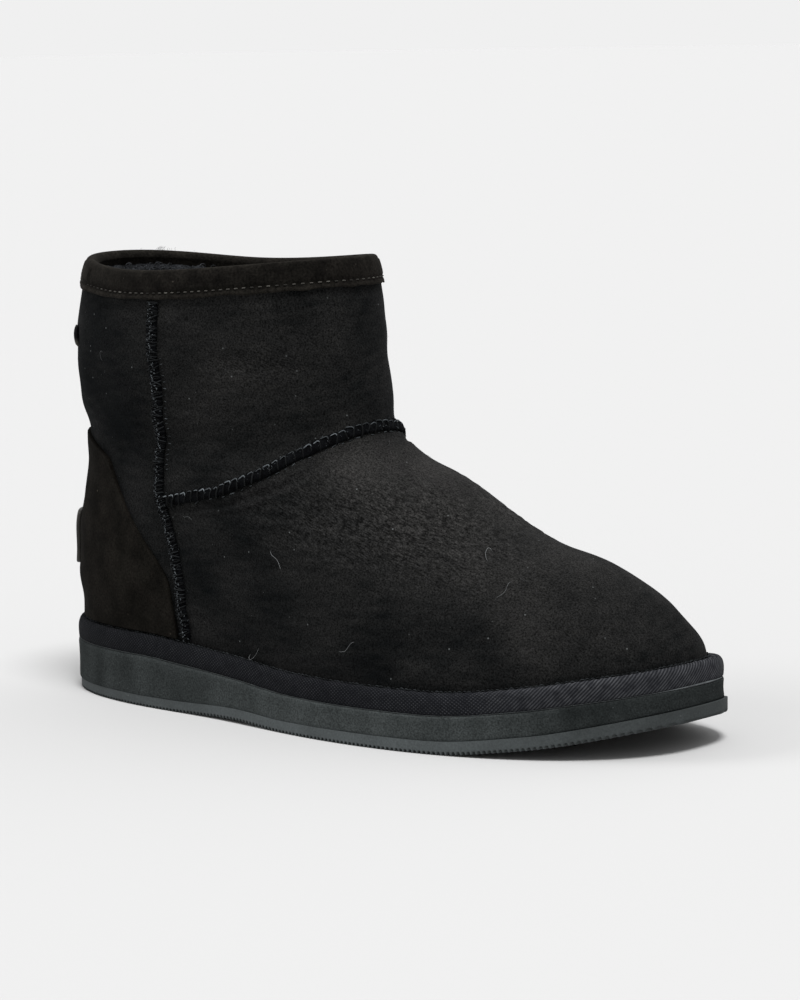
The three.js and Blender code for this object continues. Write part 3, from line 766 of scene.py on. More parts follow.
@dataclass(frozen=True)
class Finish:
    """A surface's finish: its two tones, its gloss, and the grain that its making left."""

    name: str
    dark: str
    light: str
    patch_mm: float
    grain_mm: float
    grain_depth_mm: float
    roughness: float
    specular: float = 0.2
    grain_tint: float = 0.35
    toned: float = 0.0
    sheen: float = 0.0
    sheen_roughness: float = 0.5
    sheen_tint: str = "#ffffff"
    speck_mm: float = 0.0
    speck_colour: str = "#8f9294"
    speck_share: float = 0.03

    def build(self) -> bpy.types.Material:
        """Makes the material."""
        shading = Shading(self.name)
        place = shading.add("ShaderNodeTexCoord").outputs["Object"]
        colour, height = self.colour(shading, place), self.height(shading, place)
        shading.feed(shading.shader, {
            "Base Color": colour,
            "Roughness": self.roughness,
            "Specular IOR Level": self.specular,
            "Sheen Weight": self.sheen,
            "Sheen Roughness": self.sheen_roughness,
            "Sheen Tint": linear(self.sheen_tint),
            "Normal": shading.add("ShaderNodeBump", {"Height": height, "Distance": MM, "Strength": 1.0}),
        })
        return shading.material

    def grain(self, place: Socket, detail: float) -> dict:
        """The inputs of the grain's noise."""
        return {"Vector": place, "Scale": 1 / (self.grain_mm * MM), "Detail": detail}

    def colour(self, shading: Shading, place: Socket) -> Socket:
        """The two tones laid in soft patches, broken by the grain and flecked."""
        spots = {"Vector": place, "Scale": 1 / (self.patch_mm * MM), "Detail": 4.0}
        patches = shading.add("ShaderNodeTexNoise", spots)
        tone = shading.add("ShaderNodeMapRange", {0: patches, 1: 0.35, 2: 0.65})
        painted = shading.add("ShaderNodeAttribute", attribute_name="tone").outputs["Fac"]
        toned = shading.add("ShaderNodeMix", {0: self.toned, 2: tone, 3: painted})
        tones = {0: toned, 6: linear(self.dark), 7: linear(self.light)}
        mixed = shading.add("ShaderNodeMix", tones, data_type="RGBA").outputs[2]
        grain = shading.add("ShaderNodeTexNoise", self.grain(place, 3.0))
        spread = {0: grain, 1: 0.3, 2: 0.7, 3: 1 - self.grain_tint, 4: 1 + self.grain_tint}
        broken = {0: mixed, "Scale": shading.add("ShaderNodeMapRange", spread)}
        grained = shading.add("ShaderNodeVectorMath", broken, operation="SCALE").outputs[0]
        if not self.speck_mm:
            return grained
        cells = shading.add("ShaderNodeTexVoronoi", {"Vector": place, "Scale": 1 / (self.speck_mm * MM)})
        fade = {0: cells.outputs["Distance"], 1: 0.03, 2: 0.13, 3: 1.0, 4: 0.0}
        near = shading.add("ShaderNodeMapRange", fade)
        pick = shading.add("ShaderNodeSeparateColor", {0: cells.outputs["Color"]})
        chosen = shading.add("ShaderNodeMath", {0: pick, 1: self.speck_share}, operation="LESS_THAN")
        amount = shading.add("ShaderNodeMath", {0: near, 1: chosen}, operation="MULTIPLY")
        flecks = {0: amount, 6: grained, 7: linear(self.speck_colour)}
        return shading.add("ShaderNodeMix", flecks, data_type="RGBA").outputs[2]

    def height(self, shading: Shading, place: Socket) -> Socket:
        """The grain's height in millimetres."""
        high = {0: shading.add("ShaderNodeTexNoise", self.grain(place, 4.0)), 1: self.grain_depth_mm}
        return shading.add("ShaderNodeMath", high, operation="MULTIPLY").outputs[0]


@dataclass(frozen=True)
class Twill(Finish):
    """Woven tape: fine diagonal ribs that follow the tape, with pale and dark yarn crossing."""

    rib_mm: float = 1.6
    rib_slope: float = -1.15
    rib_depth_mm: float = 0.3
    yarn_mm: float = 1.7
    yarn_slope: float = 1.4
    yarn_colour: str = "#4a4b4e"

    def ribs(self, shading: Shading, pitch_mm: float, slope: float) -> bpy.types.Node:
        """Waves from 0 to 1 across the tape's flat place, a pitch apart and leaning by a slope."""
        flat = shading.add("ShaderNodeUVMap", uv_map="UVMap")
        turn = 2 * math.pi / (pitch_mm * MM)
        lean = {0: flat, 1: (turn, turn * slope, 0)}
        phase = shading.add("ShaderNodeVectorMath", lean, operation="DOT_PRODUCT")
        wave = shading.add("ShaderNodeMath", {0: phase.outputs["Value"]}, operation="SINE")
        return shading.add("ShaderNodeMapRange", {0: wave, 1: -1.0, 2: 1.0})

    def weave(self, shading: Shading) -> bpy.types.Node:
        """Ribs where the tape is stretched round the toe, broken into short dashes elsewhere."""
        rib = self.ribs(shading, self.rib_mm, self.rib_slope)
        yarn = self.ribs(shading, self.yarn_mm, self.yarn_slope)
        raised = shading.add("ShaderNodeMapRange", {0: yarn, 1: 0.3, 2: 0.85})
        dashes = shading.add("ShaderNodeMath", {0: rib, 1: raised}, operation="MULTIPLY")
        painted = shading.add("ShaderNodeAttribute", attribute_name="tone").outputs["Fac"]
        stretched = shading.add("ShaderNodeMapRange", {0: painted, 1: 0.75, 2: 0.93})
        return shading.add("ShaderNodeMix", {0: stretched, 2: dashes, 3: rib})

    def colour(self, shading: Shading, place: Socket) -> Socket:
        """The tape's tones, paler where a yarn comes up and, as a painted highlight, on the crests of its
        ribs.
        """
        base, weave = super().colour(shading, place), self.weave(shading)
        fleck = shading.add("ShaderNodeTexNoise", {"Vector": place, "Scale": 0.5 / (self.yarn_mm * MM)})
        worn = shading.add("ShaderNodeMapRange", {0: fleck, 1: 0.3, 2: 0.7, 3: 0.25, 4: 1.0})
        painted = shading.add("ShaderNodeAttribute", attribute_name="tone").outputs["Fac"]
        toe_paleness = shading.add("ShaderNodeMapRange", {0: painted, 3: 0.25, 4: 1.15})
        amount = shading.add("ShaderNodeMath", {0: worn, 1: toe_paleness}, operation="MULTIPLY")
        share = shading.add("ShaderNodeMath", {0: weave, 1: amount}, operation="MULTIPLY")
        yarns = {0: share, 6: base, 7: linear(self.yarn_colour)}
        return shading.add("ShaderNodeMix", yarns, data_type="RGBA").outputs[2]

    def height(self, shading: Shading, place: Socket) -> Socket:
        """The ribs' height over the yarn's own grain, in millimetres."""
        high = {0: self.weave(shading), 1: self.rib_depth_mm, 2: super().height(shading, place)}
        return shading.add("ShaderNodeMath", high, operation="MULTIPLY_ADD").outputs[0]


@dataclass(frozen=True)
class Suede(Finish):
    """Napped suede, with fine wrinkles that run down and forward where the boot bends."""

    wrinkle_mm: float = 0.8
    wrinkle_length_mm: float = 3.6
    wrinkle_lean: float = -22.0
    wrinkle_depth_mm: float = 0.36

    def wrinkles(self, shading: Shading, place: Socket) -> bpy.types.Node:
        """Drawn-out noise, kept to where the skin bends."""
        lean = {"Vector": place, "Angle": math.radians(self.wrinkle_lean)}
        leant = shading.add("ShaderNodeVectorRotate", lean, rotation_type="Y_AXIS")
        stretch = {0: leant, 1: (self.wrinkle_mm / self.wrinkle_length_mm, 0.25, 1.0)}
        drawn = shading.add("ShaderNodeVectorMath", stretch, operation="MULTIPLY")
        scale = {"Vector": drawn, "Scale": 1.7 / (self.wrinkle_mm * MM), "Detail": 1.0}
        noise = shading.add("ShaderNodeTexNoise", scale)
        bend = shading.add("ShaderNodeAttribute", attribute_name="bend").outputs["Fac"]
        return shading.add("ShaderNodeMix", {0: bend, 2: 0.5, 3: noise})

    def colour(self, shading: Shading, place: Socket) -> Socket:
        """The nap's tones, with painted shade down in the wrinkles and painted light on their crests."""
        nap = super().colour(shading, place)
        # painted shade and light: the nap's colour is scaled down in the wrinkles' troughs and up on their
        # crests
        spread = {0: self.wrinkles(shading, place), 1: 0.34, 2: 0.66, 3: 0.42, 4: 1.6}
        worn = {0: nap, "Scale": shading.add("ShaderNodeMapRange", spread)}
        return shading.add("ShaderNodeVectorMath", worn, operation="SCALE").outputs[0]

    def height(self, shading: Shading, place: Socket) -> Socket:
        """The wrinkles' height over the nap's own, in millimetres."""
        high = {0: self.wrinkles(shading, place), 1: self.wrinkle_depth_mm, 2: super().height(shading, place)}
        return shading.add("ShaderNodeMath", high, operation="MULTIPLY_ADD").outputs[0]


# Sheepskin with its suede side out: dull and deep black, its nap lighter where it is brushed, with painted
# light on the instep's top and painted shade at the toe end, and fine wrinkles where the vamp bends, with
# painted shade in their troughs and painted light on their crests. The nap's fibres are drawn coarser than
# they are, so that they show.
UPPER_SUEDE = Suede(
    "upper_suede_napped", "#07090a", "#323130", 22, 0.6, 0.1, 0.95,
    specular=0.02, grain_tint=0.75, toned=0.9, sheen=0.03, sheen_roughness=0.45, sheen_tint="#b9bcc0",
    speck_mm=3.2, speck_colour="#5f6262", speck_share=0.06,
)
# Suede binding: browner and closer, with worn pale fibres.
BINDING_SUEDE = Finish(
    "binding_suede_brown_black", "#0a0908", "#211f1c", 4, 0.9, 0.2, 0.92,
    specular=0.03, grain_tint=0.55, toned=0.75, sheen=0.03, sheen_tint="#c9c0b4",
    speck_mm=3.0, speck_colour="#4b4741", speck_share=0.08,
)
# Heel patch: pressed suede, brown-black and faintly polished in blotches.
COUNTER_SUEDE = Finish(
    "counter_suede_pressed", "#0d0c0a", "#1d1b18", 9, 0.8, 0.08, 0.85,
    specular=0.02, grain_tint=0.45, toned=0.5, speck_mm=4.0, speck_colour="#46423b", speck_share=0.05,
)
# Its cut edge: raw and near black.
CUT_EDGE = Finish("counter_cut_edge", "#030303", "#070706", 5, 0.6, 0.05, 0.95, specular=0.03)
# Twill tape: navy-black yarn, its ribs catch the light, with a painted highlight on their crests.
TAPE_TWILL = Twill(
    "rand_tape_twill", "#08090b", "#1d1e22", 16, 0.5, 0.05, 0.85,
    specular=0.04, grain_tint=0.4, toned=0.85, sheen=0.02, sheen_tint="#c3c6d4",
)
# Foamed sole: dead matt dark grey with a fine open skin.
MIDSOLE_FOAM = Finish(
    "midsole_foam_matt", "#202323", "#414545", 16, 0.6, 0.1, 0.9,
    specular=0.04, grain_tint=0.45, toned=0.8, speck_mm=1.8, speck_colour="#565a5a", speck_share=0.10,
)
# Rubber outsole: lighter grey, satin, with a dusty skin.
OUTSOLE_RUBBER = Finish(
    "outsole_rubber_grey", "#2c2f2f", "#525758", 14, 0.7, 0.05, 0.75,
    specular=0.12, grain_tint=0.18, toned=0.8, speck_mm=2.2, speck_colour="#6f7272", speck_share=0.06,
)
# Lip over the foam: smoother, paler rubber.
LIP_RUBBER = Finish("lip_bead_rubber", "#45484a", "#5c6062", 6, 0.5, 0.03, 0.6, specular=0.2, grain_tint=0.15)
# Overlock yarn: textured grey yarn, near black in the ridge below it.
SEAM_CORE = Finish(
    "seam_core_dark", "#050506", "#0d0e10", 3, 0.6, 0.25, 0.95, specular=0.03, grain_tint=0.5,
)
SEAM_THREAD = Finish(
    "seam_thread_grey", "#0b0c0d", "#70767a", 4, 0.35, 0.06, 0.85,
    specular=0.1, grain_tint=0.4, toned=1.0,
)
# Binding's stitches: plain grey thread, with a faint gloss.
BINDING_THREAD = Finish(
    "binding_thread_grey", "#22211f", "#5c5a55", 4, 0.35, 0.05, 0.8, specular=0.12, grain_tint=0.3, toned=1.0,
)
# Wool pile: soft curly grey fibre that swallows the light.
WOOL = Finish(
    "fleece_wool_pile", "#191b1d", "#424448", 5, 0.8, 0.6, 0.95,
    specular=0.05, grain_tint=0.5, toned=0.6, sheen=0.2, sheen_roughness=0.6, sheen_tint="#c8cbd0",
)
# Bare satin rubber badge.
LABEL_RUBBER = Finish(
    "label_rubber_satin", "#2a2927", "#3d3b38", 8, 0.6, 0.03, 0.5, specular=0.3, grain_tint=0.12,
)
# Tab: black woven tape, its cut end pale.
TAB_TEXTILE = Finish("back_tab_textile", "#0b0b0d", "#3b3a36", 4, 0.5, 0.08, 0.85, specular=0.08, toned=1.0)
# Lint: pale grey fibres, dry and dull.
LINT = Finish("lint_fibre", "#2d2f30", "#77797a", 3, 0.5, 0.02, 0.9, specular=0.1, toned=1.0)
# Floor: plain pale paint.
FLOOR_PAINT = Finish("floor_pale_matt", "#c3c3c3", "#c3c3c3", 400, 30, 0.0, 1.0, specular=0.0, grain_tint=0.0)


def dress(piece: Piece, slot: Slot, finishes: list[Finish], *nodes: str) -> None:
    """Gives a piece its finishes and its body, and hides the solids that it stands for.

    Args:
        piece: the finished mesh.
        slot: the record's slot; not used.
        finishes: a finish for each of its material places.
        nodes: the solids that it replaces.
    """
    piece.data.materials.clear()
    for finish in finishes:
        piece.data.materials.append(bpy.data.materials.get(finish.name) or finish.build())
    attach(piece, ROOT)
    if nodes:
        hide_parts(*nodes)
    triangles = sum(len(polygon.vertices) - 2 for polygon in piece.data.polygons)
    log.info("%s: %d triangles", piece.name, triangles)


# Sub-assemblies


@dataclass
class Assembly:
    """A sub-assembly of the boot, whose pieces are laid on its last."""

    last: Last

    def sheet(self, name: str, faces: tuple, lay: Lay, slot: Slot, finish: Finish, *nodes: str) -> None:
        """Lays a closed sheet on a grid of so many faces across and up, and dresses it."""
        dress(laid_grid(name, *faces, lay, self.last.shift), slot, [finish], *nodes)

    def strew(self, name: str, slot: Slot, finish: Finish, models: list[Piece], places: Array, axes: tuple,
              scale: Array, tones: Array) -> None:
        """Strews copies of small models over the boot, and dresses them as one piece.

        Args:
            name: the piece's name.
            slot: the record's slot.
            finish: its finish.
            models: the models, taken in turn.
            places: of the copies, in the boot's millimetres.
            axes: each copy's ways sideways, ahead and out.
            scale: of each copy.
            tones: of each copy.
        """
        frames = frames_at(self.last.to_frame(places), *axes, scale)
        dress(strewn(name, models, frames, tones), slot, [finish])

    def thicken(self, piece: Piece, thickness: float, bevel: float, **settings: object) -> None:
        """Gives an open sheet a wall that grows inwards, with softly rounded edges."""
        middle = Vector(self.last.to_frame(np.array(HEEL_MIDDLE)))
        polygon = piece.data.polygons[len(piece.data.polygons) // 2]
        inward = -1.0 if polygon.normal.dot(polygon.center - middle) > 0 else 1.0
        wall = {"thickness": thickness * MM, "offset": inward, "use_even_offset": True, "use_rim": True}
        apply_modifier(piece, "SOLIDIFY", **wall, **settings)
        edge = {"width": bevel * MM, "segments": 2, "limit_method": "ANGLE", "angle_limit": EDGE_ANGLE}
        apply_modifier(piece, "BEVEL", **edge)
        select_only(piece)
        bpy.ops.object.shade_smooth()


@dataclass
class Sole(Assembly):
    """Outsole with its fine tread, and the foam wedge over it."""

    heel_inset: float = 0.9
    lip: float = 1.4
    tooth_pitch: float = 1.9
    tooth_depth: float = 1.1
    tooth_stations: int = 6
    end_stations: int = 14
    end_share: float = 0.012
    edge_angle: float = 28.0
    faces_round: int = 420
    glue_line: float = 0.06
    bead_radius: float = 0.34
    # the outsole's half: share of the half width, share of the height, edge inset
    half_section: tuple = (
        (0, 1, 0.8), (1, 1, 0), (1, 0.75, 0), (1, 0.5, 0), (1, 0.3, 0), (1, 0.14, 0), (1, 0.03, 0.1),
        (1, 0, 0.35), (0.94, 0, 0.35), (0.8, 0, 0.35), (0.6, 0, 0.35), (0.4, 0, 0.35), (0.2, 0, 0.35),
    )
    # the wedge: share of the wall's height, inset, whether it lies on the middle line
    wall_section: tuple = (
        (0, 30, 1), (0, 0.12, 0), (0.02, 0.03, 0), (0.1, 0, 0), (0.3, 0.12, 0), (0.5, 0.16, 0), (0.7, 0.1, 0),
        (0.88, 0, 0), (0.96, 0.2, 0), (1, 0.8, 0), (1, 6, 0), (1, 30, 1),
    )

    def tooth(self, x: Array) -> Array:
        """How far the tread is cut up into the outsole at x: a saw of flat-tipped teeth."""
        share = np.mod(x / self.tooth_pitch, 1)
        return self.tooth_depth * np.clip(2.0 - np.abs(share - 0.5) * 5.2, 0, 1)

    def half_width(self, x: Array, side: Array, inset: float) -> Array:
        """The outsole's outline at x, on the side that the sign gives, as a y."""
        last = self.last
        heel, toe = self.heel_inset + inset, last.sole_length + self.lip - inset
        widest = last.widest * last.sole_length
        behind = x < widest
        reach = np.where(behind, widest - heel, toe - widest)
        power = 2 / np.where(behind, last.back_curve, last.front_curve)
        along = np.clip(np.abs(widest - x) / reach, 0, 1) ** (1 / power)
        across = np.sqrt(np.clip(1 - along**2, 0, 1))
        width = np.where(side > 0, last.outer_share, last.inner_share) * last.ball_width
        half = (width - inset) * across**power
        drawn = last.waist(x, side * across, last.waist_pinch)
        return side * (drawn - half) + last.swing(x)

    def sole_paleness(self, x: Array, base: float) -> Array:
        """How pale the sole is at x: palest under the ball of the foot, darker towards the toe."""
        return np.clip(base + 0.55 * bell(x - 165, 75) - 0.42 * smooth_step(x, 225, 280), 0, 1)

    def outsole(self) -> None:
        """The outsole: a section across the boot, laid at each tooth's corners along it."""
        last = self.last
        heel, toe = self.heel_inset, last.sole_length + self.lip
        length = toe - heel
        straight = np.linspace(0, 1, int(length / self.tooth_pitch * self.tooth_stations) + 1)
        straight = straight[(straight > 0.0125) & (straight < 0.9875)]
        curled = (1 - np.cos(np.linspace(0, np.pi / 2, self.end_stations + 1))) * self.end_share
        stations = heel + np.unique(np.concatenate([curled, straight, 1 - curled])) * length
        half = np.array([(1, *row) for row in self.half_section])
        section = np.concatenate([half, half[::-1] * [-1, 1, 1, 1], half[:1]])

        def lay(across: Array, along: Array) -> Three:
            """Lays the section's points at the stations."""
            side, share, high, inset = rows_at(section, across)
            x = np.clip(rows_at(stations, along), heel + inset, toe - inset)
            edge, outer, inner = (self.half_width(x, sign, inset) for sign in (side, np.ones(1), -np.ones(1)))
            middle = (outer + inner) / 2
            y = middle + (edge - middle) * share
            cut = self.tooth(x)
            low = last.outsole_bottom(x) + cut * (1 - smooth_step(high, 0.0, 0.28))
            z = low + (last.outsole_top(x) - low) * high
            # painted shade: the tone is darkened in the tread's notches, where shade falls
            painted_notch_shade = 1 - 0.9 * cut / self.tooth_depth * (high < 0.2)
            return columns(x, y, z), columns(x, y), self.sole_paleness(x, 0.6) * painted_notch_shade

        piece = laid_grid("outsole_treaded", len(section) - 1, len(stations) - 1, lay, last.shift)
        select_only(piece)
        bpy.ops.object.shade_smooth_by_angle(angle=math.radians(self.edge_angle))
        dress(piece, Slot.OUTSOLE, [OUTSOLE_RUBBER], "outsole")

    def midsole(self) -> None:
        """The foam wedge: an upright wall with rounded shoulders, closed over and under."""
        last, section = self.last, np.array(self.wall_section)

        def lay(around: Array, up: Array) -> Three:
            """Lays the wall round the sole's outline."""
            high, inset, inward = rows_at(section, up)
            edge, drawn = last.outline(around, 0), last.outline(around, 1)
            inset = inset + 0.12 * waves(columns(*edge.T, high * 12), 26, 21)
            wall = edge + (drawn - edge) * np.where(inward > 0, 0, inset)[:, None]
            spine = columns(np.clip(edge[:, 0], 30, 250), last.swing(edge[:, 0]))
            x, y = np.where(inward[:, None] > 0, spine, wall).T
            low, top = last.outsole_top(x) + self.glue_line, last.midsole_top(x)
            z = low + (top - low) * high
            smudges = waves(columns(x, y, z * 0.25), 13, 22) * 0.16
            tone = np.clip(self.sole_paleness(x, 0.36) + smudges, 0, 1)
            return columns(x, y, z), columns(around * last.sole_round, z), tone

        faces = (self.faces_round, len(section) - 1)
        self.sheet("midsole_wedge", faces, lay, Slot.MIDSOLE, MIDSOLE_FOAM, "midsole")

    def bead(self) -> None:
        """A thin pale lip between tape and foam, which shows at the heel and the toe."""
        last = self.last

        def lay(around: Array, turn: Array) -> Three:
            """Lays a fine round bead along the foot of the tape."""
            edge = last.outline(around, 0.25)
            ends = np.abs(np.cos(2 * np.pi * around)) ** 60
            radius = self.bead_radius * (0.15 + 0.85 * ends)
            outward = unit(last.outline(around, -1) - last.outline(around, 1))
            angle = 2 * np.pi * turn
            place = edge + outward * (radius * np.cos(angle))[:, None]
            z = last.midsole_top(edge[:, 0]) + 0.1 + radius * np.sin(angle)
            return columns(*place.T, z), columns(around * last.sole_round, turn * 2), np.zeros(1)

        self.sheet("tape_lip_bead", (self.faces_round, 6), lay, Slot.OUTSOLE, LIP_RUBBER)

    def build(self) -> None:
        """Builds the sole."""
        self.outsole()
        self.midsole()
        self.bead()


@dataclass
class RandTape(Assembly):
    """The twill tape round the foot of the upper, and the whipped edge that shows over it."""

    faces_round: int = 640
    whip_pitch: float = 1.8
    whip_height: float = 0.8
    whip_radius: float = 0.24
    whip_at: float = 0.97
    puckers: int = 150
    # share of the way from the skin to the sole's edge, share of the height
    section: tuple = (
        (0, 0), (0.5, 0), (0.93, 0), (0.985, 0.05), (1, 0.16), (1.015, 0.3), (1.015, 0.45), (0.99, 0.6),
        (0.93, 0.74), (0.83, 0.86), (0.69, 0.945), (0.52, 0.99), (0.36, 1), (0.2, 0.97), (0.06, 0.92),
        (0, 0.84), (0, 0),
    )

    def tape(self) -> None:
        """The tape: a soft bulging band from the upper's face to the sole's edge."""
        last, section = self.last, np.array(self.section)
        lengths = walked(section * [last.tape_reach, last.tape_height])
        turns = np.linspace(0, 1, 4001)
        distances = walked(last.outline(turns, 0))

        def lay(around: Array, up: Array) -> Three:
            """Lays the section round the boot."""
            across, high = rows_at(section, up)
            height = high * last.tape_height
            level = last.level_of_height(around, height)
            skin = last.skin(around, level) + last.normal(around, level) * last.gap
            edge = last.outline(around, 0.1)
            x, y = (skin[:, :2] + (edge - skin[:, :2]) * across[:, None]).T
            puckered = np.sin(2 * np.pi * around * self.puckers) * smooth_step(high, 0.6, 1) * 0.12
            # tone that grows towards the toe: paler tape, with its ribs unbroken there
            toe_paleness = 0.1 + 0.2 * smooth_step(x, 20, 120) + 0.65 * smooth_step(x, 150, 270)
            flat = columns(np.interp(around, turns, distances), rows_at(lengths, up))
            return columns(x, y, last.upper_foot(x) + height + puckered), flat, toe_paleness

        faces = (self.faces_round, len(section) - 1)
        self.sheet("rand_tape_woven", faces, lay, Slot.TAPE, TAPE_TWILL, "rand_tape")

    def whipped_edge(self) -> None:
        """Small loops of dark thread that hold the upper to the tape."""
        last = self.last
        height = last.tape_height * self.whip_at
        marks, level = last.marks(last.level_of_height, height, self.whip_pitch, 4000)
        count = len(marks)
        axes = last.axes(marks, level)
        jitter = rng.normal(0, 0.12, (count, 3))
        places = last.skin(marks, level) + axes[2] * 0.35 + jitter * [1, 1, 0.6]

        def loop(t: Array) -> Array:
            """A loop that rises out of the tape, leans and goes back in."""
            rise = np.sin(np.pi * t)
            return columns(0.2 - self.whip_height * rise, (t - 0.5) * self.whip_pitch * 1.15, 0.55 * rise)

        self.strew(
            "whipped_edge", Slot.THREAD, SEAM_THREAD, [strand("whip_loop", loop, self.whip_radius, 5, 8)],
            places, axes, rng.uniform(0.8, 1.15, count), rng.uniform(0.02, 0.16, count),
        )

    def build(self) -> None:
        """Builds the tape and its whipped edge."""
        self.tape()
        self.whipped_edge()


# share of the way round, share of the way up, how light it is: the brushed nap, with painted light on the
# instep's top and painted shade at the toe end
NAP_AND_LIGHT_PATCHES = (
    (0.17, 0.75, 0.00), (0.10, 0.62, 0.02), (0.00, 0.75, 0.08), (0.33, 0.76, 0.42), (0.27, 0.90, 0.32),
    (0.47, 0.82, 0.22), (0.33, 0.62, 0.26), (0.50, 0.66, 0.14), (0.345, 0.39, 0.36), (0.22, 0.30, 0.15),
    (0.22, 0.10, 0.15), (0.42, 0.33, 0.42), (0.50, 0.515, 0.85), (0.475, 0.44, 0.60), (0.50, 0.33, 0.45),
    (0.475, 0.22, 0.44), (0.43, 0.10, 0.22), (0.50, 0.07, 0.08), (0.29, 0.15, 0.18), (0.55, 0.19, 0.35),
)
# where fine wrinkles lie: share round and up, their spreads, how strong
WRINKLED = ((0.34, 0.395, 0.1, 0.11, 0.9), (0.44, 0.42, 0.06, 0.06, 0.4), (0.36, 0.765, 0.06, 0.03, 0.6))
# share round and up of the curled hairs that stand out on the outer side
PLACED_HAIRS = ((0.244, 0.285), (0.217, 0.088), (0.249, 0.118), (0.409, 0.327), (0.375, 0.253))


@dataclass
class Upper(Assembly):
    """The suede side of the sheepskin, with its creases, and the lint that clings to it."""

    faces_round: int = 372
    outside_rows: int = 196
    inside_rows: int = 30
    rim_round: float = 0.3
    specks: int = 620
    hairs: int = 16
    hair_radius: float = 0.075

    def tone(self, around: Array, level: Array, place: Array) -> Array:
        """How light the nap is: the soft patches where it was brushed, with painted light on the instep's top
        and painted shade at the toe end, alike on both sides.
        """
        share, high, tones = np.array(NAP_AND_LIGHT_PATCHES).T
        patches = self.last.skin(share, high) * [1, 1, 1.3]
        here = self.last.skin(from_heel(around), level) * [1, 1, 1.3]
        total = np.zeros(len(place))
        weight = np.full(len(place), 1e-9)
        for patch, tone in zip(patches, tones):
            near = bell(np.linalg.norm(here - patch, axis=1), 24) + 1e-6
            total += near * tone
            weight += near
        brushed = 0.07 * waves(place, 30, 8) + 0.06 * waves(place * [1, 1, 2.2], 9, 9)
        return np.clip(total / weight + brushed, 0, 1)

    def bend(self, around: Array, level: Array) -> Array:
        """How wrinkled the skin is: on the vamp's sides, and faintly on the shaft."""
        turn, wrinkled = from_heel(around), 0.1
        for at, high, wide, tall, strong in WRINKLED:
            wrinkled = wrinkled + strong * bell(np.hypot((turn - at) / wide, (level - high) / tall), 1.0)
        return np.clip(wrinkled, 0, 1)

    def skin(self) -> None:
        """The hollow upper: its worn outer face, its rim, and the smooth inner face."""
        last = self.last
        spread = smooth_curve([0, 0.3, 0.75, 1], [0, 0.24, 0.72, 1])
        outside = spread(np.linspace(0, 1, self.outside_rows + 1))
        inside = np.linspace(1, 0, self.inside_rows + 1)
        # share of the way up, lift off the smooth skin, whether it is worn
        rim = [(1, -self.rim_round, 0), (1, self.rim_round - last.wall, 0)]
        section = np.concatenate([columns(outside, 0, 1), rim, columns(inside, -last.wall, 0), [(0, 0, 1)]])

        def lay(around: Array, up: Array) -> Three:
            """Lays the wall's section round the boot."""
            level, lift, worn = rows_at(section, up)
            place = last.skin(around, level)
            relief = last.relief(around, level, place) * worn
            points = place + last.normal(around, level) * (lift + relief)[:, None]
            tone = np.stack([self.tone(around, level, place), self.bend(around, level)])
            return points, columns(around * last.upper_round, place[:, 2]), tone

        faces = (self.faces_round, len(section) - 1)
        self.sheet("upper_worn", faces, lay, Slot.UPPER, UPPER_SUEDE, "upper")

    def lint(self) -> None:
        """Short fibres and a few curled hairs caught in the nap."""
        last, hairs, placed = self.last, self.hairs, len(PLACED_HAIRS)
        count = self.specks + hairs
        around, level = rng.uniform(0, 1, count), rng.uniform(0.08, 0.9, count)
        around[:placed], level[:placed] = np.array(PLACED_HAIRS).T
        side, ahead, out = last.axes(around, level)
        side, ahead = turned(side, ahead, rng.uniform(0, 2 * np.pi, count))
        long, short = rng.uniform(0.5, 1.0, count), rng.uniform(0.05, 0.10, count)
        scale = np.where(np.arange(count) < hairs, long, short)
        scale[:placed] = 1.4
        side[hairs:] *= 2.6
        out[hairs:] *= 2.2

        def hair(t: Array) -> Array:
            """A hair that lies along the nap and curls up at one end."""
            return columns(1.3 * np.sin(5.5 * t) * t, 6.5 * t, 0.5 * np.sin(np.pi * t))

        def hook(t: Array) -> Array:
            """A hair bent into a hook."""
            return columns(1.6 * (1 - np.cos(3.6 * t)), 4.2 * np.sin(2.4 * t), 0.7 * np.sin(np.pi * t))

        models = [strand("hair_model", path, self.hair_radius, 3, 9) for path in (hair, hook)]
        tones = rng.uniform(0.1, 0.9, count)
        tones[hairs:] **= 1.6
        places = last.surface(around, level, 0.15)
        self.strew("lint", Slot.UPPER, LINT, models, places, (side, ahead, out), scale, tones)

    def build(self) -> None:
        """Builds the skin and its lint."""
        self.skin()
        self.lint()


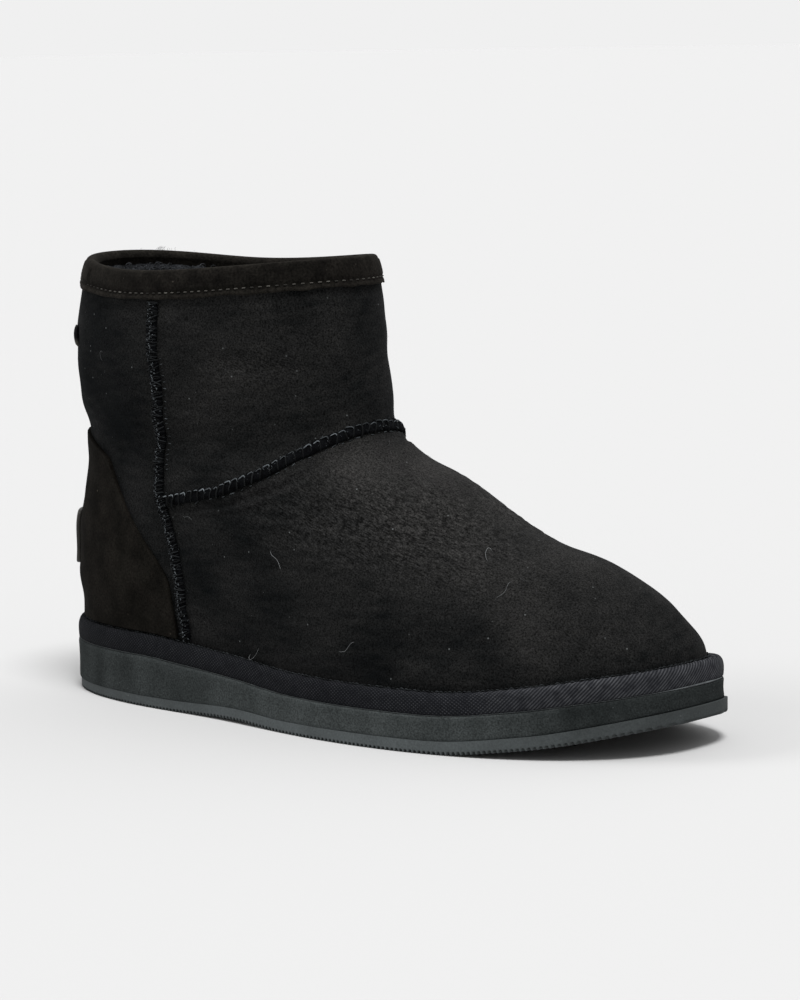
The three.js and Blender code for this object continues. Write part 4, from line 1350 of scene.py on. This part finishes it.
@dataclass
class Fleece(Assembly):
    """The wool pile inside: on the wall, on the insole, and in tufts at the collar."""

    pile: float = 6.0
    lump: float = 1.7
    faces_round: int = 300
    rows: int = 74
    face_share: float = 0.85
    insole_thickness: float = 4.0
    insole_inset: float = 8.1
    insole_faces: int = 260
    insole_rows: int = 34
    spine_ends: tuple[float, float] = (45, 240)
    wall_curls: int = 3200
    insole_curls: int = 900
    wisps: int = 22
    wisps_at: float = 0.918
    # inset, share of the insole's thickness
    insole_edge: tuple = ((6, 0), (0, 0), (-0.1, 0.4), (0, 0.75), (0.6, 0.95), (2, 1))

    def lining(self) -> None:
        """The pile on the wall, as one lumpy closed band."""
        last = self.last

        def lay(around: Array, up: Array) -> Three:
            """Lays the pile's face down the inside, and its back up the wall."""
            front = up < self.face_share
            share = np.where(front, up / self.face_share, (1 - up) / (1 - self.face_share))
            top, foot = last.level_of_drop(around, 2.2), last.level_of_height(around, 3.0)
            level = top + (foot - top) * share
            place = last.skin(around, level)
            lumps = waves(place, 5.5, 31) * 0.6 + waves(place, 12, 32) * 0.6
            swell = np.sin(np.pi * np.clip(share, 0, 1)) ** 0.35
            deep = (self.pile + self.lump * lumps) * swell
            inward = last.wall + last.gap + np.where(front, deep, 0.05)
            points = place - last.normal(around, level) * inward[:, None]
            tone = np.clip(0.45 + 0.4 * lumps, 0, 1)
            return points, columns(around * last.shaft_round, place[:, 2]), tone

        self.sheet("fleece_lining", (self.faces_round, self.rows), lay, Slot.FLEECE, WOOL)

    def curl_models(self) -> list[Piece]:
        """Two curls of wool, each a short helix."""

        def curl(t: Array) -> Array:
            """A loose curl that stands out of the pile."""
            return columns(1.1 * np.cos(8 * t) - 1.1, 1.1 * np.sin(8 * t), 3.4 * t - 0.6)

        def lock(t: Array) -> Array:
            """A flatter, wider curl."""
            return columns(1.6 * np.sin(6 * t), 1.3 * np.cos(6 * t) - 1.3, 2.4 * t - 0.5)

        return [strand("curl_model", curl, 0.17, 3, 9), strand("lock_model", lock, 0.19, 3, 9)]

    def wall_tufts(self) -> None:
        """Curls over the lining, closest near the collar."""
        last, count = self.last, self.wall_curls
        around = rng.uniform(0, 1, count)
        drop = 3.5 + 62 * rng.uniform(0, 1, count) ** 1.5
        level = last.level_of_drop(around, drop)
        side, ahead, out = last.axes(around, level, facing=-1)
        side, ahead = turned(side, ahead, rng.uniform(0, 2 * np.pi, count))
        deep = last.wall + self.pile * np.clip(drop / 11, 0.3, 1) * 0.95
        places = last.skin(around, level) + out * deep[:, None]
        self.strew(
            "fleece_curls", Slot.FLEECE, WOOL, self.curl_models(), places, (side, ahead, out),
            rng.uniform(0.45, 0.9, count), rng.uniform(0.1, 1, count),
        )

    def rim_wisps(self) -> None:
        """A few fine wisps of wool that stand over the rim at the back of the inner side."""
        last, count = self.last, self.wisps
        around = self.wisps_at + rng.normal(0, 0.014, count)
        _, ahead, out = last.axes(around, np.full(count, 0.99))
        places = last.skin(around, 1.0) - out * (last.wall / 2) + [0, 0, 0.9]

        def wisp(t: Array) -> Array:
            """A fine bent hair that stands up."""
            return columns(0.9 * np.sin(4 * t), 0.7 * np.sin(3 * t), 2.6 * t - 0.4)

        self.strew(
            "fleece_wisps", Slot.FLEECE, WOOL, [strand("wisp_model", wisp, 0.05, 3, 7)], places,
            (out, ahead, np.broadcast_to(UPWARD, out.shape)),
            rng.uniform(0.5, 1.1, count), rng.uniform(0.7, 1, count),
        )

    def spine(self, edge: Array) -> Array:
        """The insole's middle line, beside each place of its edge."""
        x = np.clip(edge[:, 0], *self.spine_ends)
        return columns(x, self.last.swing(x))

    def insole(self) -> None:
        """The insole: a lumpy pile over a flat board, closed all round."""
        last, section = self.last, np.array(self.insole_edge)
        rows = len(section) + self.insole_rows + 1

        def lay(around: Array, up: Array) -> Three:
            """Lays the pile from the edge to the middle line, and the board under it."""
            row = np.round(up * rows).astype(int)
            under = row == 0
            inset, high = section[np.clip(row - 1, 0, len(section) - 1)].T
            edge, drawn = last.outline(around, self.insole_inset), last.outline(around, self.insole_inset + 1)
            place = edge + (drawn - edge) * inset[:, None]
            inward = np.where(under, 1, np.clip((row - len(section)) / self.insole_rows, 0, 1))
            place = place + (self.spine(edge) - place) * inward[:, None]
            lumps = waves(columns(*place.T, 0), 6, 41)
            pile = smooth_step(inward, 0, 0.15) * ~under * (1.2 + 0.9 * lumps)
            z = last.upper_foot(place[:, 0]) + np.where(under, 0, high) * self.insole_thickness + pile
            return columns(*place.T, z), place, np.clip(0.4 + 0.3 * lumps, 0, 1)

        self.sheet("insole_fleece", (self.insole_faces, rows), lay, Slot.FLEECE, WOOL, "insole")

    def insole_tufts(self) -> None:
        """Curls over the insole."""
        last, count = self.last, self.insole_curls
        around, reach = rng.uniform(0, 1, count), np.sqrt(rng.uniform(0, 1, count))
        edge = last.outline(around, self.insole_inset + 3)
        spine = self.spine(edge)
        x, y = (spine + (edge - spine) * reach[:, None]).T
        places = columns(x, y, last.upper_foot(x) + self.insole_thickness + 1.0)
        turn = rng.uniform(0, 2 * np.pi, count)
        cos, sin = np.cos(turn), np.sin(turn)
        axes = (columns(cos, sin, 0), columns(-sin, cos, 0), np.broadcast_to(UPWARD, (count, 3)))
        self.strew(
            "insole_curls", Slot.FLEECE, WOOL, self.curl_models(), places, axes,
            rng.uniform(0.6, 1.0, count), rng.uniform(0.1, 1, count),
        )

    def build(self) -> None:
        """Builds the wool."""
        self.lining()
        self.wall_tufts()
        self.rim_wisps()
        self.insole()
        self.insole_tufts()


class Fold(IntEnum):
    """The stretches of the binding's section."""

    OUTER_FACE = 0
    ARCH = 1
    INNER_FACE = 2
    INNER_BACK = 3
    OUTER_BACK = 4


@dataclass
class CollarBinding(Assembly):
    """The suede strip folded over the rim, with its raw edge, its join and its topstitch."""

    thickness: float = 1.0
    drop: float = 10.0
    turn_in: float = 8.0
    faces_round: int = 430
    rim_round: float = 360.0
    wave_round: float = 340.0
    stitch_drop: float = 7.6
    stitch_pitch: float = 3.15
    stitch_length: float = 1.6
    stitch_radius: float = 0.24
    stitches: int = 108
    join_at: float = 0.148
    join_step: float = 0.55

    def lift_over(self, around: Array, drop: Array) -> Array:
        """How far the strip's face stands out, past its plain thickness."""
        roll = 0.30 * np.sin(np.pi * np.clip(drop / self.stitch_drop, 0, 1)) ** 0.8
        groove = -0.42 * bell(drop - self.stitch_drop, 0.75)
        pinches = np.cos(2 * np.pi * around * self.stitches) * bell(drop - self.stitch_drop, 1.8) * 0.10
        behind = np.mod(self.join_at - around, 1)
        join = self.join_step * smooth_step(behind, 0, 0.0025) * (1 - smooth_step(behind, 0.004, 0.05))
        edge = 0.10 * waves(columns(around * self.rim_round, drop, 0), 7, 51) * smooth_step(drop, 7.6, 9.5)
        return roll + groove + pinches + join + edge

    def strip(self) -> None:
        """The folded strip, as one closed section swept round the rim."""
        last = self.last
        face = last.gap + self.thickness
        half = last.wall / 2 + face
        turned_at = half - last.wall / 2
        # millimetres under the rim, or the turn over the arch
        stretches = {
            Fold.OUTER_FACE: [9.95, 9.7, *np.linspace(9.2, turned_at, 17)],
            Fold.ARCH: np.linspace(0, np.pi, 15)[1:-1],
            Fold.INNER_FACE: np.linspace(turned_at, self.turn_in, 9),
            Fold.INNER_BACK: [self.turn_in, 4.0, 0.5],
            Fold.OUTER_BACK: [0.5, 4.0, 9.6],
        }
        rows = [(fold, value) for fold, values in stretches.items() for value in values]
        section = np.array([*rows, rows[0]], float)

        def lay(around: Array, up: Array) -> Three:
            """Lays the section round the rim."""
            fold, value = rows_at(section, up)
            outer, arch = fold == Fold.OUTER_FACE, fold == Fold.ARCH
            wave = 0.28 * waves(columns(around * self.wave_round, 0, 0), 11, 52)
            drop = np.where(arch, 0.02, value) + np.where(outer, wave * smooth_step(value, 6, 9.9), 0)
            level = last.level_of_drop(around, drop)
            place = last.skin(around, level)
            raised = face + self.lift_over(around, drop) + np.where(value > 9.8, -0.35, 0)
            lifts = [raised, -last.wall / 2 + half * np.cos(value), -last.wall - face, -last.wall - last.gap]
            lift = np.choose(fold.astype(int), [*lifts, last.gap])
            points = place + last.normal(around, level) * lift[:, None]
            points[:, 2] += np.where(arch, half * np.sin(value) - (half - face), 0)
            # painted light: the inner face is made paler so that it looks lit in the shade inside the rim
            tone = 0.25 + 0.5 * smooth_step(drop, 8.2, 8.8) * outer + 0.75 * (fold == Fold.INNER_FACE)
            worn = np.where(arch, 0.6 * np.sin(value) ** 3, 0) + 0.2 * waves(place, 8, 53)
            return points, columns(around * self.rim_round, drop), np.clip(tone + worn, 0, 1)

        faces = (self.faces_round, len(section) - 1)
        self.sheet("collar_binding_folded", faces, lay, Slot.BINDING, BINDING_SUEDE, "collar_binding")

    def topstitch(self) -> None:
        """One row of stitches, each a short bowed thread that dives into the suede."""
        last = self.last
        marks, level = last.marks(last.level_of_drop, self.stitch_drop, self.stitch_pitch, 3000)
        count = len(marks)
        axes = last.axes(marks, level)
        places = last.skin(marks, level) + axes[2] * (last.gap + self.thickness - 0.30)

        def bow(t: Array) -> Array:
            """A stitch, level in its middle and steep at its ends."""
            return columns(0, (2 * t - 1) * self.stitch_length / 2, 0.45 * np.sin(np.pi * t) ** 0.6 - 0.2)

        self.strew(
            "binding_topstitch", Slot.BINDING, BINDING_THREAD,
            [strand("stitch_model", bow, self.stitch_radius, 6, 7)],
            places, axes, rng.uniform(0.9, 1.08, count), rng.uniform(0, 1, count),
        )

    def build(self) -> None:
        """Builds the binding."""
        self.strip()
        self.topstitch()


# share of the stitch, sideways, onward along the seam, up; millimetres
COMMA_STITCH = (
    (0, 1.1, 0, 0), (0.25, 0.55, 0.38, 0.3), (0.5, 0, 0.75, 0.42), (0.75, -0.55, 0.38, 0.3), (1, -1.1, 0, 0),
)
# along the upper edge to the next stitch, then down over the crest
HOOKED_STITCH = (
    (0, -0.45, -2.7, -0.25), (0.5, -0.75, -0.5, -0.05), (0.7, -0.5, 0.05, 0.12), (1, 0.45, 0.25, 0.1),
)


@dataclass
class RaisedSeam(Assembly):
    """A raised seam: a dark ridge along a route on the skin, wrapped in loops of thread.

    Its sizes are the side seam's, where nothing else is said.
    """

    name: str
    route: Path
    width: float = 5.0
    height: float = 1.8
    pitch: float = 1.75
    thread: float = 0.22
    lean: float = 1.5
    crossed: bool = True
    fuzz: int = 110
    loop_light: float = 0.1
    fleck_pitch: float = 0.7
    fleck_aside: float = 0.0
    fleck_spread: float = 0.85
    fleck_turn: float = 1.3
    fleck_size: tuple[float, float] = (0.3, 0.48)
    fleck_light: float = 0.62
    fleck_line: tuple = COMMA_STITCH
    fleck_lean: float = 0.5
    fleck_radius: float = 0.42
    tick_aside: float = 3.9
    tick_shares: tuple[float, float, float] = (0.50, 0.84, 0.0175)
    tick_turn: float = 0.0
    tick_size: tuple[float, float] = (0.7, 1.1)
    tick_light: tuple[float, float] = (0.12, 0.4)
    crest_dim: float = 0.0

    def ahead(self, share: Array) -> Array:
        """The route's direction in its two shares."""
        return self.route(np.minimum(share + 0.002, 1)) - self.route(np.maximum(share - 0.002, 0))

    def line(self) -> Array:
        """The route's places on the skin, finely sampled."""
        return self.last.skin(*self.route(np.linspace(0, 1, 1200)).T)

    def ridge(self) -> None:
        """The ridge under the thread, tapered at its ends."""
        last = self.last
        count = int(walked(self.line())[-1] / self.pitch)

        def lay(turn: Array, along: Array) -> Three:
            """Lays the ridge's section along the route."""
            over = turn < 0.75
            t = np.where(over, turn / 0.75, (1 - turn) / 0.25)
            taper = np.clip(np.minimum(along, 1 - along) / 0.015, 0, 1) ** 0.5
            side = -np.cos(np.pi * t) * self.width / 2 * taper
            wrapped = 0.86 + 0.14 * np.abs(np.sin(np.pi * along * count))
            high = self.height * 0.86 * np.sin(np.pi * t) ** 0.6 * wrapped * taper + 0.05
            lift = np.where(taper == 0, 0, np.where(over, high, -0.4 * taper))
            around, level = last.beside(*self.route(along).T, self.ahead(along), side)
            return last.surface(around, level, lift), columns(turn * 6, along * 140), np.zeros(1)

        self.sheet(f"{self.name}_ridge", (14, 260), lay, Slot.THREAD, SEAM_CORE, self.name)

    def wrap(self, part: str, models: list[Piece], share: Array, aside: Array, lift: Array, scale: Array,
             turn: Array, tones: Array) -> None:
        """Strews threads along the seam, turned about the way out.

        Args:
            part: what they are, for the piece's name.
            models: the threads.
            share: of the way along the route.
            aside: millimetres off the route.
            lift: millimetres over the skin.
            scale: of each thread.
            turn: of each thread, in radians.
            tones: of each thread.
        """
        onward = self.ahead(share)
        around, level = self.last.beside(*self.route(share).T, onward, aside)
        side, ahead, out = self.last.axes(around, level, onward)
        axes = (*turned(side, ahead, -turn), out)
        places = self.last.surface(around, level, lift)
        self.strew(f"{self.name}_{part}", Slot.THREAD, SEAM_THREAD, models, places, axes, scale, tones)

    def loops(self) -> None:
        """The thread over the ridge, one loop a pitch, or two crossed ones."""
        marks = spaced(self.line(), self.pitch)
        half, high = self.width / 2 + 0.3, self.height + 0.05

        def over(t: Array) -> Array:
            """A loop from one foot of the ridge over its crest to the other."""
            rise = high * np.sin(np.pi * t) ** 0.6 - 0.12
            return columns(-half * np.cos(np.pi * t), self.lean * (t - 0.5), rise)

        def back(t: Array) -> Array:
            """A loop that leans the other way."""
            return over(t) * [1, -1, 1] + [0, self.pitch / 2, 0]

        models = [strand("loop_model", path, self.thread, 5, 9) for path in (over, back)[: 1 + self.crossed]]
        marks = np.repeat(marks, len(models))
        count = len(marks)
        self.wrap(
            "thread", models, marks, rng.normal(0, 0.18, count), np.zeros(count),
            rng.uniform(0.88, 1.06, count), rng.normal(0, 0.2, count),
            self.loop_light * rng.uniform(0, 1, count) ** 2,
        )

    def flecks(self) -> None:
        """The lighter turns of yarn that come up along the crest."""
        marks = spaced(self.line(), self.fleck_pitch)
        count = len(marks)
        share, *parts = np.array(self.fleck_line).T
        curves = [smooth_curve(share, part) for part in parts]

        def stitch(t: Array) -> Array:
            """One turn of the yarn, through the points of its table."""
            return columns(*(curve(t) for curve in curves))

        aside = self.fleck_aside + rng.normal(0, self.fleck_spread, count)
        high = self.height * np.clip(1 - (2 * aside / self.width) ** 2, 0.15, 1) ** 0.5
        turn = self.fleck_lean + rng.normal(0, self.fleck_turn, count)
        dimmed = 1 - self.crest_dim * bell(marks - 0.5, 0.1)
        self.wrap(
            "flecks", [strand("stitch_model", stitch, self.fleck_radius, 4, 8)], marks, aside, high - 0.05,
            rng.uniform(*self.fleck_size, count), turn,
            self.fleck_light * rng.uniform(0.25, 1, count) * dimmed,
        )

    def ticks(self) -> None:
        """Short stitches that show in a row beside the seam, towards the toe."""
        share = np.arange(*self.tick_shares)
        count = len(share)

        def tick(t: Array) -> Array:
            """A short stitch across the row."""
            return columns(1.8 * t - 0.9, 0, 0.12 * np.sin(np.pi * t))

        aside = self.tick_aside + rng.normal(0, 0.12, count)
        turn = self.tick_turn + rng.normal(0, 0.2, count)
        self.wrap(
            "ticks", [strand("tick_model", tick, 0.17, 4, 4)], share, aside, np.full(count, 0.06),
            rng.uniform(*self.tick_size, count), turn, rng.uniform(*self.tick_light, count),
        )

    def fluff(self) -> None:
        """Short fibres that have worked out of the yarn."""
        count = self.fuzz
        share = rng.uniform(0.01, 0.99, count)
        aside = rng.normal(0, self.width * 0.3, count)
        lift = self.height * 0.75 * np.clip(1 - (2 * aside / self.width) ** 2, 0, 1)

        def fibre(t: Array) -> Array:
            """A short bent fibre."""
            return columns(t, 0.4 * np.sin(3 * t), 0.6 * np.sin(2.2 * t))

        turn = rng.uniform(0, 2 * np.pi, count)
        self.wrap(
            "fluff", [strand("fibre_model", fibre, 0.075, 3, 4)], share, aside, lift,
            rng.uniform(0.5, 1.2, count), turn, rng.uniform(0, 0.6, count),
        )

    def build(self) -> None:
        """Builds the seam."""
        self.ridge()
        self.loops()
        self.flecks()
        self.fluff()
        self.ticks()


# level, around
SIDE_SEAM_ROUTE = (
    (0, 0.175), (0.1, 0.176), (0.19, 0.179), (0.33, 0.188), (0.42, 0.196),
    (0.49, 0.212), (0.6, 0.243), (0.73, 0.254), (1, 0.253),
)
# between the side seam and the crest, climb
VAMP_SEAM_ROUTE = ((0, 0), (0.12, 0.15), (0.6, 0.72), (0.75, 0.88), (0.9, 0.98), (1, 1))
VAMP_SEAM_FOOT = 0.41
VAMP_SEAM_CREST = 0.607
VAMP_SEAM_WIDTH = 4.4


def side_seam(last: Last, side: Side) -> RaisedSeam:
    """The overlocked seam up one side of the boot."""
    seam_around = smooth_curve(*np.array(SIDE_SEAM_ROUTE).T)
    foot_around, rim_around = (np.array([seam_around(end)]) for end in (0.0, 1.0))
    lowest = last.level_of_height(foot_around, last.tape_height + last.trim_gap)[0]
    highest = last.level_of_drop(rim_around, CollarBinding.drop + last.trim_gap)[0]

    def route(share: Array) -> Array:
        """The shares round and up at a share of the seam."""
        level = lowest + share * (highest - lowest)
        return columns(side.value * seam_around(level), level)

    name = f"side_seam_{side.name.lower()}"
    return RaisedSeam(last, name, route, tick_aside=RaisedSeam.tick_aside * side.value)


def vamp_seam(last: Last) -> RaisedSeam:
    """The whipped seam from one side seam over the instep to the other."""
    climb = smooth_curve(*np.array(VAMP_SEAM_ROUTE).T)
    start = float(smooth_curve(*np.array(SIDE_SEAM_ROUTE).T)(VAMP_SEAM_FOOT))
    clear = RaisedSeam.width / 2 + VAMP_SEAM_WIDTH / 4 + 2 * last.gap
    pace = np.linalg.norm(last.slopes(np.array([start]), np.array([VAMP_SEAM_FOOT]))[0])
    first = clear / pace / (0.5 - start)

    def route(share: Array) -> Array:
        """The shares round and up at a share of the seam."""
        between = first + (1 - first) * (1 - np.abs(2 * share - 1))
        around = start + between * (0.5 - start)
        around = np.where(share < 0.5, around, 1 - around)
        return columns(around, VAMP_SEAM_FOOT + climb(between) * (VAMP_SEAM_CREST - VAMP_SEAM_FOOT))

    return RaisedSeam(
        last, "vamp_seam", route, width=VAMP_SEAM_WIDTH, height=2.0, pitch=3.4, thread=0.34, lean=-2.6,
        crossed=False, fuzz=160, loop_light=0.03, fleck_pitch=3.4, fleck_aside=-0.8, fleck_spread=0.12,
        fleck_turn=0.14, fleck_size=(0.85, 1.2), fleck_light=1.0, fleck_line=HOOKED_STITCH, fleck_lean=0.0,
        fleck_radius=0.2, tick_aside=2.7, tick_shares=(0.05, 0.95, 0.021), tick_turn=math.pi / 2,
        tick_size=(0.7, 1.7), tick_light=(0.05, 0.45), crest_dim=0.6,
    )


@dataclass
class HeelPatch(Assembly):
    """The pressed suede patch on the heel, and the bare rubber label on it."""

    thickness: float = 1.2
    height: float = 83.0
    shoulder: float = 0.14
    roundness: float = 3.0
    edge_round: float = 0.3
    label_width: float = 38.0
    label_height: float = 21.0
    label_thickness: float = 1.3
    label_foot: float = 27.5
    label_corner: float = 3.2
    border_width: float = 1.6
    border_height: float = 0.35
    # share of the height, share of the way round
    edge: tuple = (
        (0, 0.170), (0.3, 0.172), (0.4, 0.168), (0.58, 0.157), (0.68, 0.152), (0.75, 0.147), (1, 0.143),
    )

    def counter(self) -> None:
        """The patch: a tongue up the back that widens to the side seams."""
        last = self.last
        edge_of = smooth_curve(*np.array(self.edge).T)

        def lay(across: Array, up: Array) -> Three:
            """Lays the patch's outer face on the skin."""
            side = 2 * across - 1
            share = up * (1 - self.shoulder * np.abs(side) ** self.roundness)
            around = side * edge_of(share)
            lowest = last.level_of_height(around, last.tape_height + last.trim_gap)
            level = lowest + share * (last.level_of_height(around, self.height) - lowest)
            points = last.surface(around, level, last.gap + self.thickness)
            blotches = waves(points, 20, 61) * 0.3 + waves(points, 9, 62) * 0.15
            tone = np.clip(0.4 + blotches, 0, 1)
            return points, columns(around * last.shaft_round, points[:, 2]), tone

        piece = laid_grid("heel_counter_pressed", 120, 90, lay, last.shift)
        piece.data.materials.append(None)
        piece.data.materials.append(None)
        self.thicken(piece, self.thickness + 0.5, self.edge_round, material_offset_rim=1)
        dress(piece, Slot.COUNTER, [COUNTER_SUEDE, CUT_EDGE], "heel_counter")

    def label(self) -> None:
        """A bare rounded badge with a raised border."""
        last = self.last
        half_width, half_height = self.label_width / 2, self.label_height / 2

        def lay(across: Array, up: Array) -> Three:
            """Lays the badge's face, its corners rounded and its border raised."""
            x, z = (2 * across - 1) * half_width, (2 * up - 1) * half_height
            rim = np.maximum(np.abs(x) - half_width, np.abs(z) - half_height) + self.border_width
            border = self.border_height * smooth_step(rim, -0.6, 0.2)
            over_x = np.maximum(np.abs(x) - (half_width - self.label_corner), 0)
            over_z = np.maximum(np.abs(z) - (half_height - self.label_corner), 0)
            far = np.hypot(over_x, over_z)
            pull = np.where(far > 0, np.maximum(over_x, over_z) / np.maximum(far, 1e-9), 1)
            x = np.sign(x) * (np.abs(x) - over_x * (1 - pull))
            z = np.sign(z) * (np.abs(z) - over_z * (1 - pull))
            level = last.level_of_height(np.zeros(len(z)), self.label_foot + half_height + z)
            lift = self.thickness + 2 * last.gap + self.label_thickness - self.border_height + border
            points = last.surface(last.around_at(level, x), level, lift)
            return points, columns(x, z), np.clip(0.3 + border, 0, 1)

        piece = laid_grid("heel_label_bare", 44, 28, lay, last.shift)
        self.thicken(piece, self.label_thickness + 0.2, self.edge_round)
        dress(piece, Slot.LABEL, [LABEL_RUBBER], "heel_label")

    def build(self) -> None:
        """Builds the patch and its label."""
        self.counter()
        self.label()


@dataclass
class BackTab(Assembly):
    """The small folded tab near the rim at the back."""

    width: float = 5.0
    height: float = 8.0
    thickness: float = 1.1
    edge_round: float = 0.25
    drop: float = 26.0
    setback: float = 31.0

    def build(self) -> None:
        """A doubled loop of tape: bulged at its fold, its cut end pale."""
        last = self.last

        def lay(across: Array, up: Array) -> Three:
            """Lays the tab's face on the skin."""
            height = last.upper_height - self.drop - self.height * (1 - up)
            level = last.level_of_height(np.zeros(len(up)), height)
            aside = self.setback + (across - 0.5) * self.width
            bulge = np.sqrt(np.clip(np.sin(np.pi * up), 0, 1)) * np.clip(np.sin(np.pi * across), 0, 1) ** 0.3
            lift = last.gap + self.thickness * (0.3 + bulge)
            points = last.surface(last.around_at(level, aside), level, lift)
            return points, columns(aside, height), 1 - smooth_step(up, 0.2, 0.45)

        piece = laid_grid("back_tab_folded", 12, 16, lay, last.shift)
        self.thicken(piece, self.thickness + 0.3, self.edge_round)
        dress(piece, Slot.BINDING, [TAB_TEXTILE], "back_tab")


@dataclass
class Studio:
    """A plain pale floor, soft light all round with a softer key from above, and the camera."""

    last: Last
    surround: float = 0.871
    ambient: float = 0.45
    floor_size: float = 60.0
    azimuth: float = 41.279
    elevation: float = 7.626
    distance: float = 1290.0
    roll: float = -1.117
    lens: float = 127.0
    aim: tuple[float, float, float] = (176.72, -18.38, 86.01)

    def floor(self) -> None:
        """Adds the floor."""
        bpy.ops.object.select_all(action="DESELECT")
        bpy.ops.mesh.primitive_plane_add(size=self.floor_size)
        ground = bpy.context.active_object
        ground.name = "floor"
        ground.data.materials.append(FLOOR_PAINT.build())

    def sun(self, name: str, strength: float, spread: float, azimuth: float, elevation: float) -> None:
        """Adds a soft distant lamp.

        Args:
            name: the lamp's name.
            strength: its strength.
            spread: how wide it looks, in degrees.
            azimuth: where it stands, as the camera's own azimuth is given.
            elevation: how high it stands, in degrees.
        """
        lamp = bpy.data.lights.new(name, "SUN")
        lamp.energy = strength
        lamp.angle = math.radians(spread)
        holder = bpy.data.objects.new(name, lamp)
        holder.rotation_mode = "QUATERNION"
        holder.rotation_quaternion = Vector(direction(azimuth, elevation)).to_track_quat("Z", "Y")
        bpy.context.scene.collection.objects.link(holder)

    def light(self) -> None:
        """Lights the boot."""
        world = bpy.data.worlds.new("soft_surround")
        world.use_nodes = True
        tree = world.node_tree
        seen = tree.nodes.new("ShaderNodeLightPath").outputs["Is Camera Ray"]
        strength = tree.nodes.new("ShaderNodeMix")
        strength.inputs[2].default_value, strength.inputs[3].default_value = self.ambient, self.surround
        tree.links.new(seen, strength.inputs[0])
        tree.links.new(strength.outputs[0], tree.nodes["Background"].inputs["Strength"])
        tree.nodes["Background"].inputs["Color"].default_value = (1, 1, 1, 1)
        bpy.context.scene.world = world
        self.sun("key_lamp", 2.8, 18, 60, 70)
        self.sun("side_lamp", 0.9, 24, 300, 36)
        self.sun("back_lamp", 0.6, 80, 195, 55)
        bpy.context.scene.view_settings.view_transform = "Standard"

    def camera(self) -> None:
        """Stands the camera where the photo was taken from, aimed at the one boot."""
        back = direction(self.azimuth, self.elevation)
        right = direction(self.azimuth + 90, 0)
        up = np.cross(back, right)
        roll = math.radians(self.roll)
        turned_right = right * math.cos(roll) + up * math.sin(roll)
        turned_up = up * math.cos(roll) - right * math.sin(roll)
        place = self.last.to_frame(np.array(self.aim)) + back * self.distance * MM
        axes = np.stack([turned_right, turned_up, back, place], -1)
        data = bpy.data.cameras.new("camera")
        data.lens = self.lens
        data.clip_start, data.clip_end = 0.01, 200
        camera = bpy.data.objects.new("camera", data)
        camera.matrix_world = Matrix([*axes.tolist(), [0, 0, 0, 1]])
        bpy.context.scene.collection.objects.link(camera)
        bpy.context.scene.camera = camera

    def build(self) -> None:
        """Builds the studio."""
        self.floor()
        self.light()
        self.camera()


def direction(azimuth: float, elevation: float) -> Array:
    """The way from the boot to a place at an azimuth and elevation in degrees."""
    a, e = math.radians(azimuth), math.radians(elevation)
    return np.array([math.sin(a) * math.cos(e), -math.cos(a) * math.cos(e), math.sin(e)])


def main() -> None:
    """Builds the boot's looks, then the studio."""
    logging.basicConfig(level=logging.INFO, format="%(name)s: %(message)s", stream=sys.stdout)
    last = Last()
    for part in (Studio, Sole, RandTape, Upper, Fleece, CollarBinding):
        part(last).build()
    for side in Side:
        side_seam(last, side).build()
    for part in (vamp_seam, HeelPatch, BackTab):
        part(last).build()


if __name__ == "__main__":
    main()
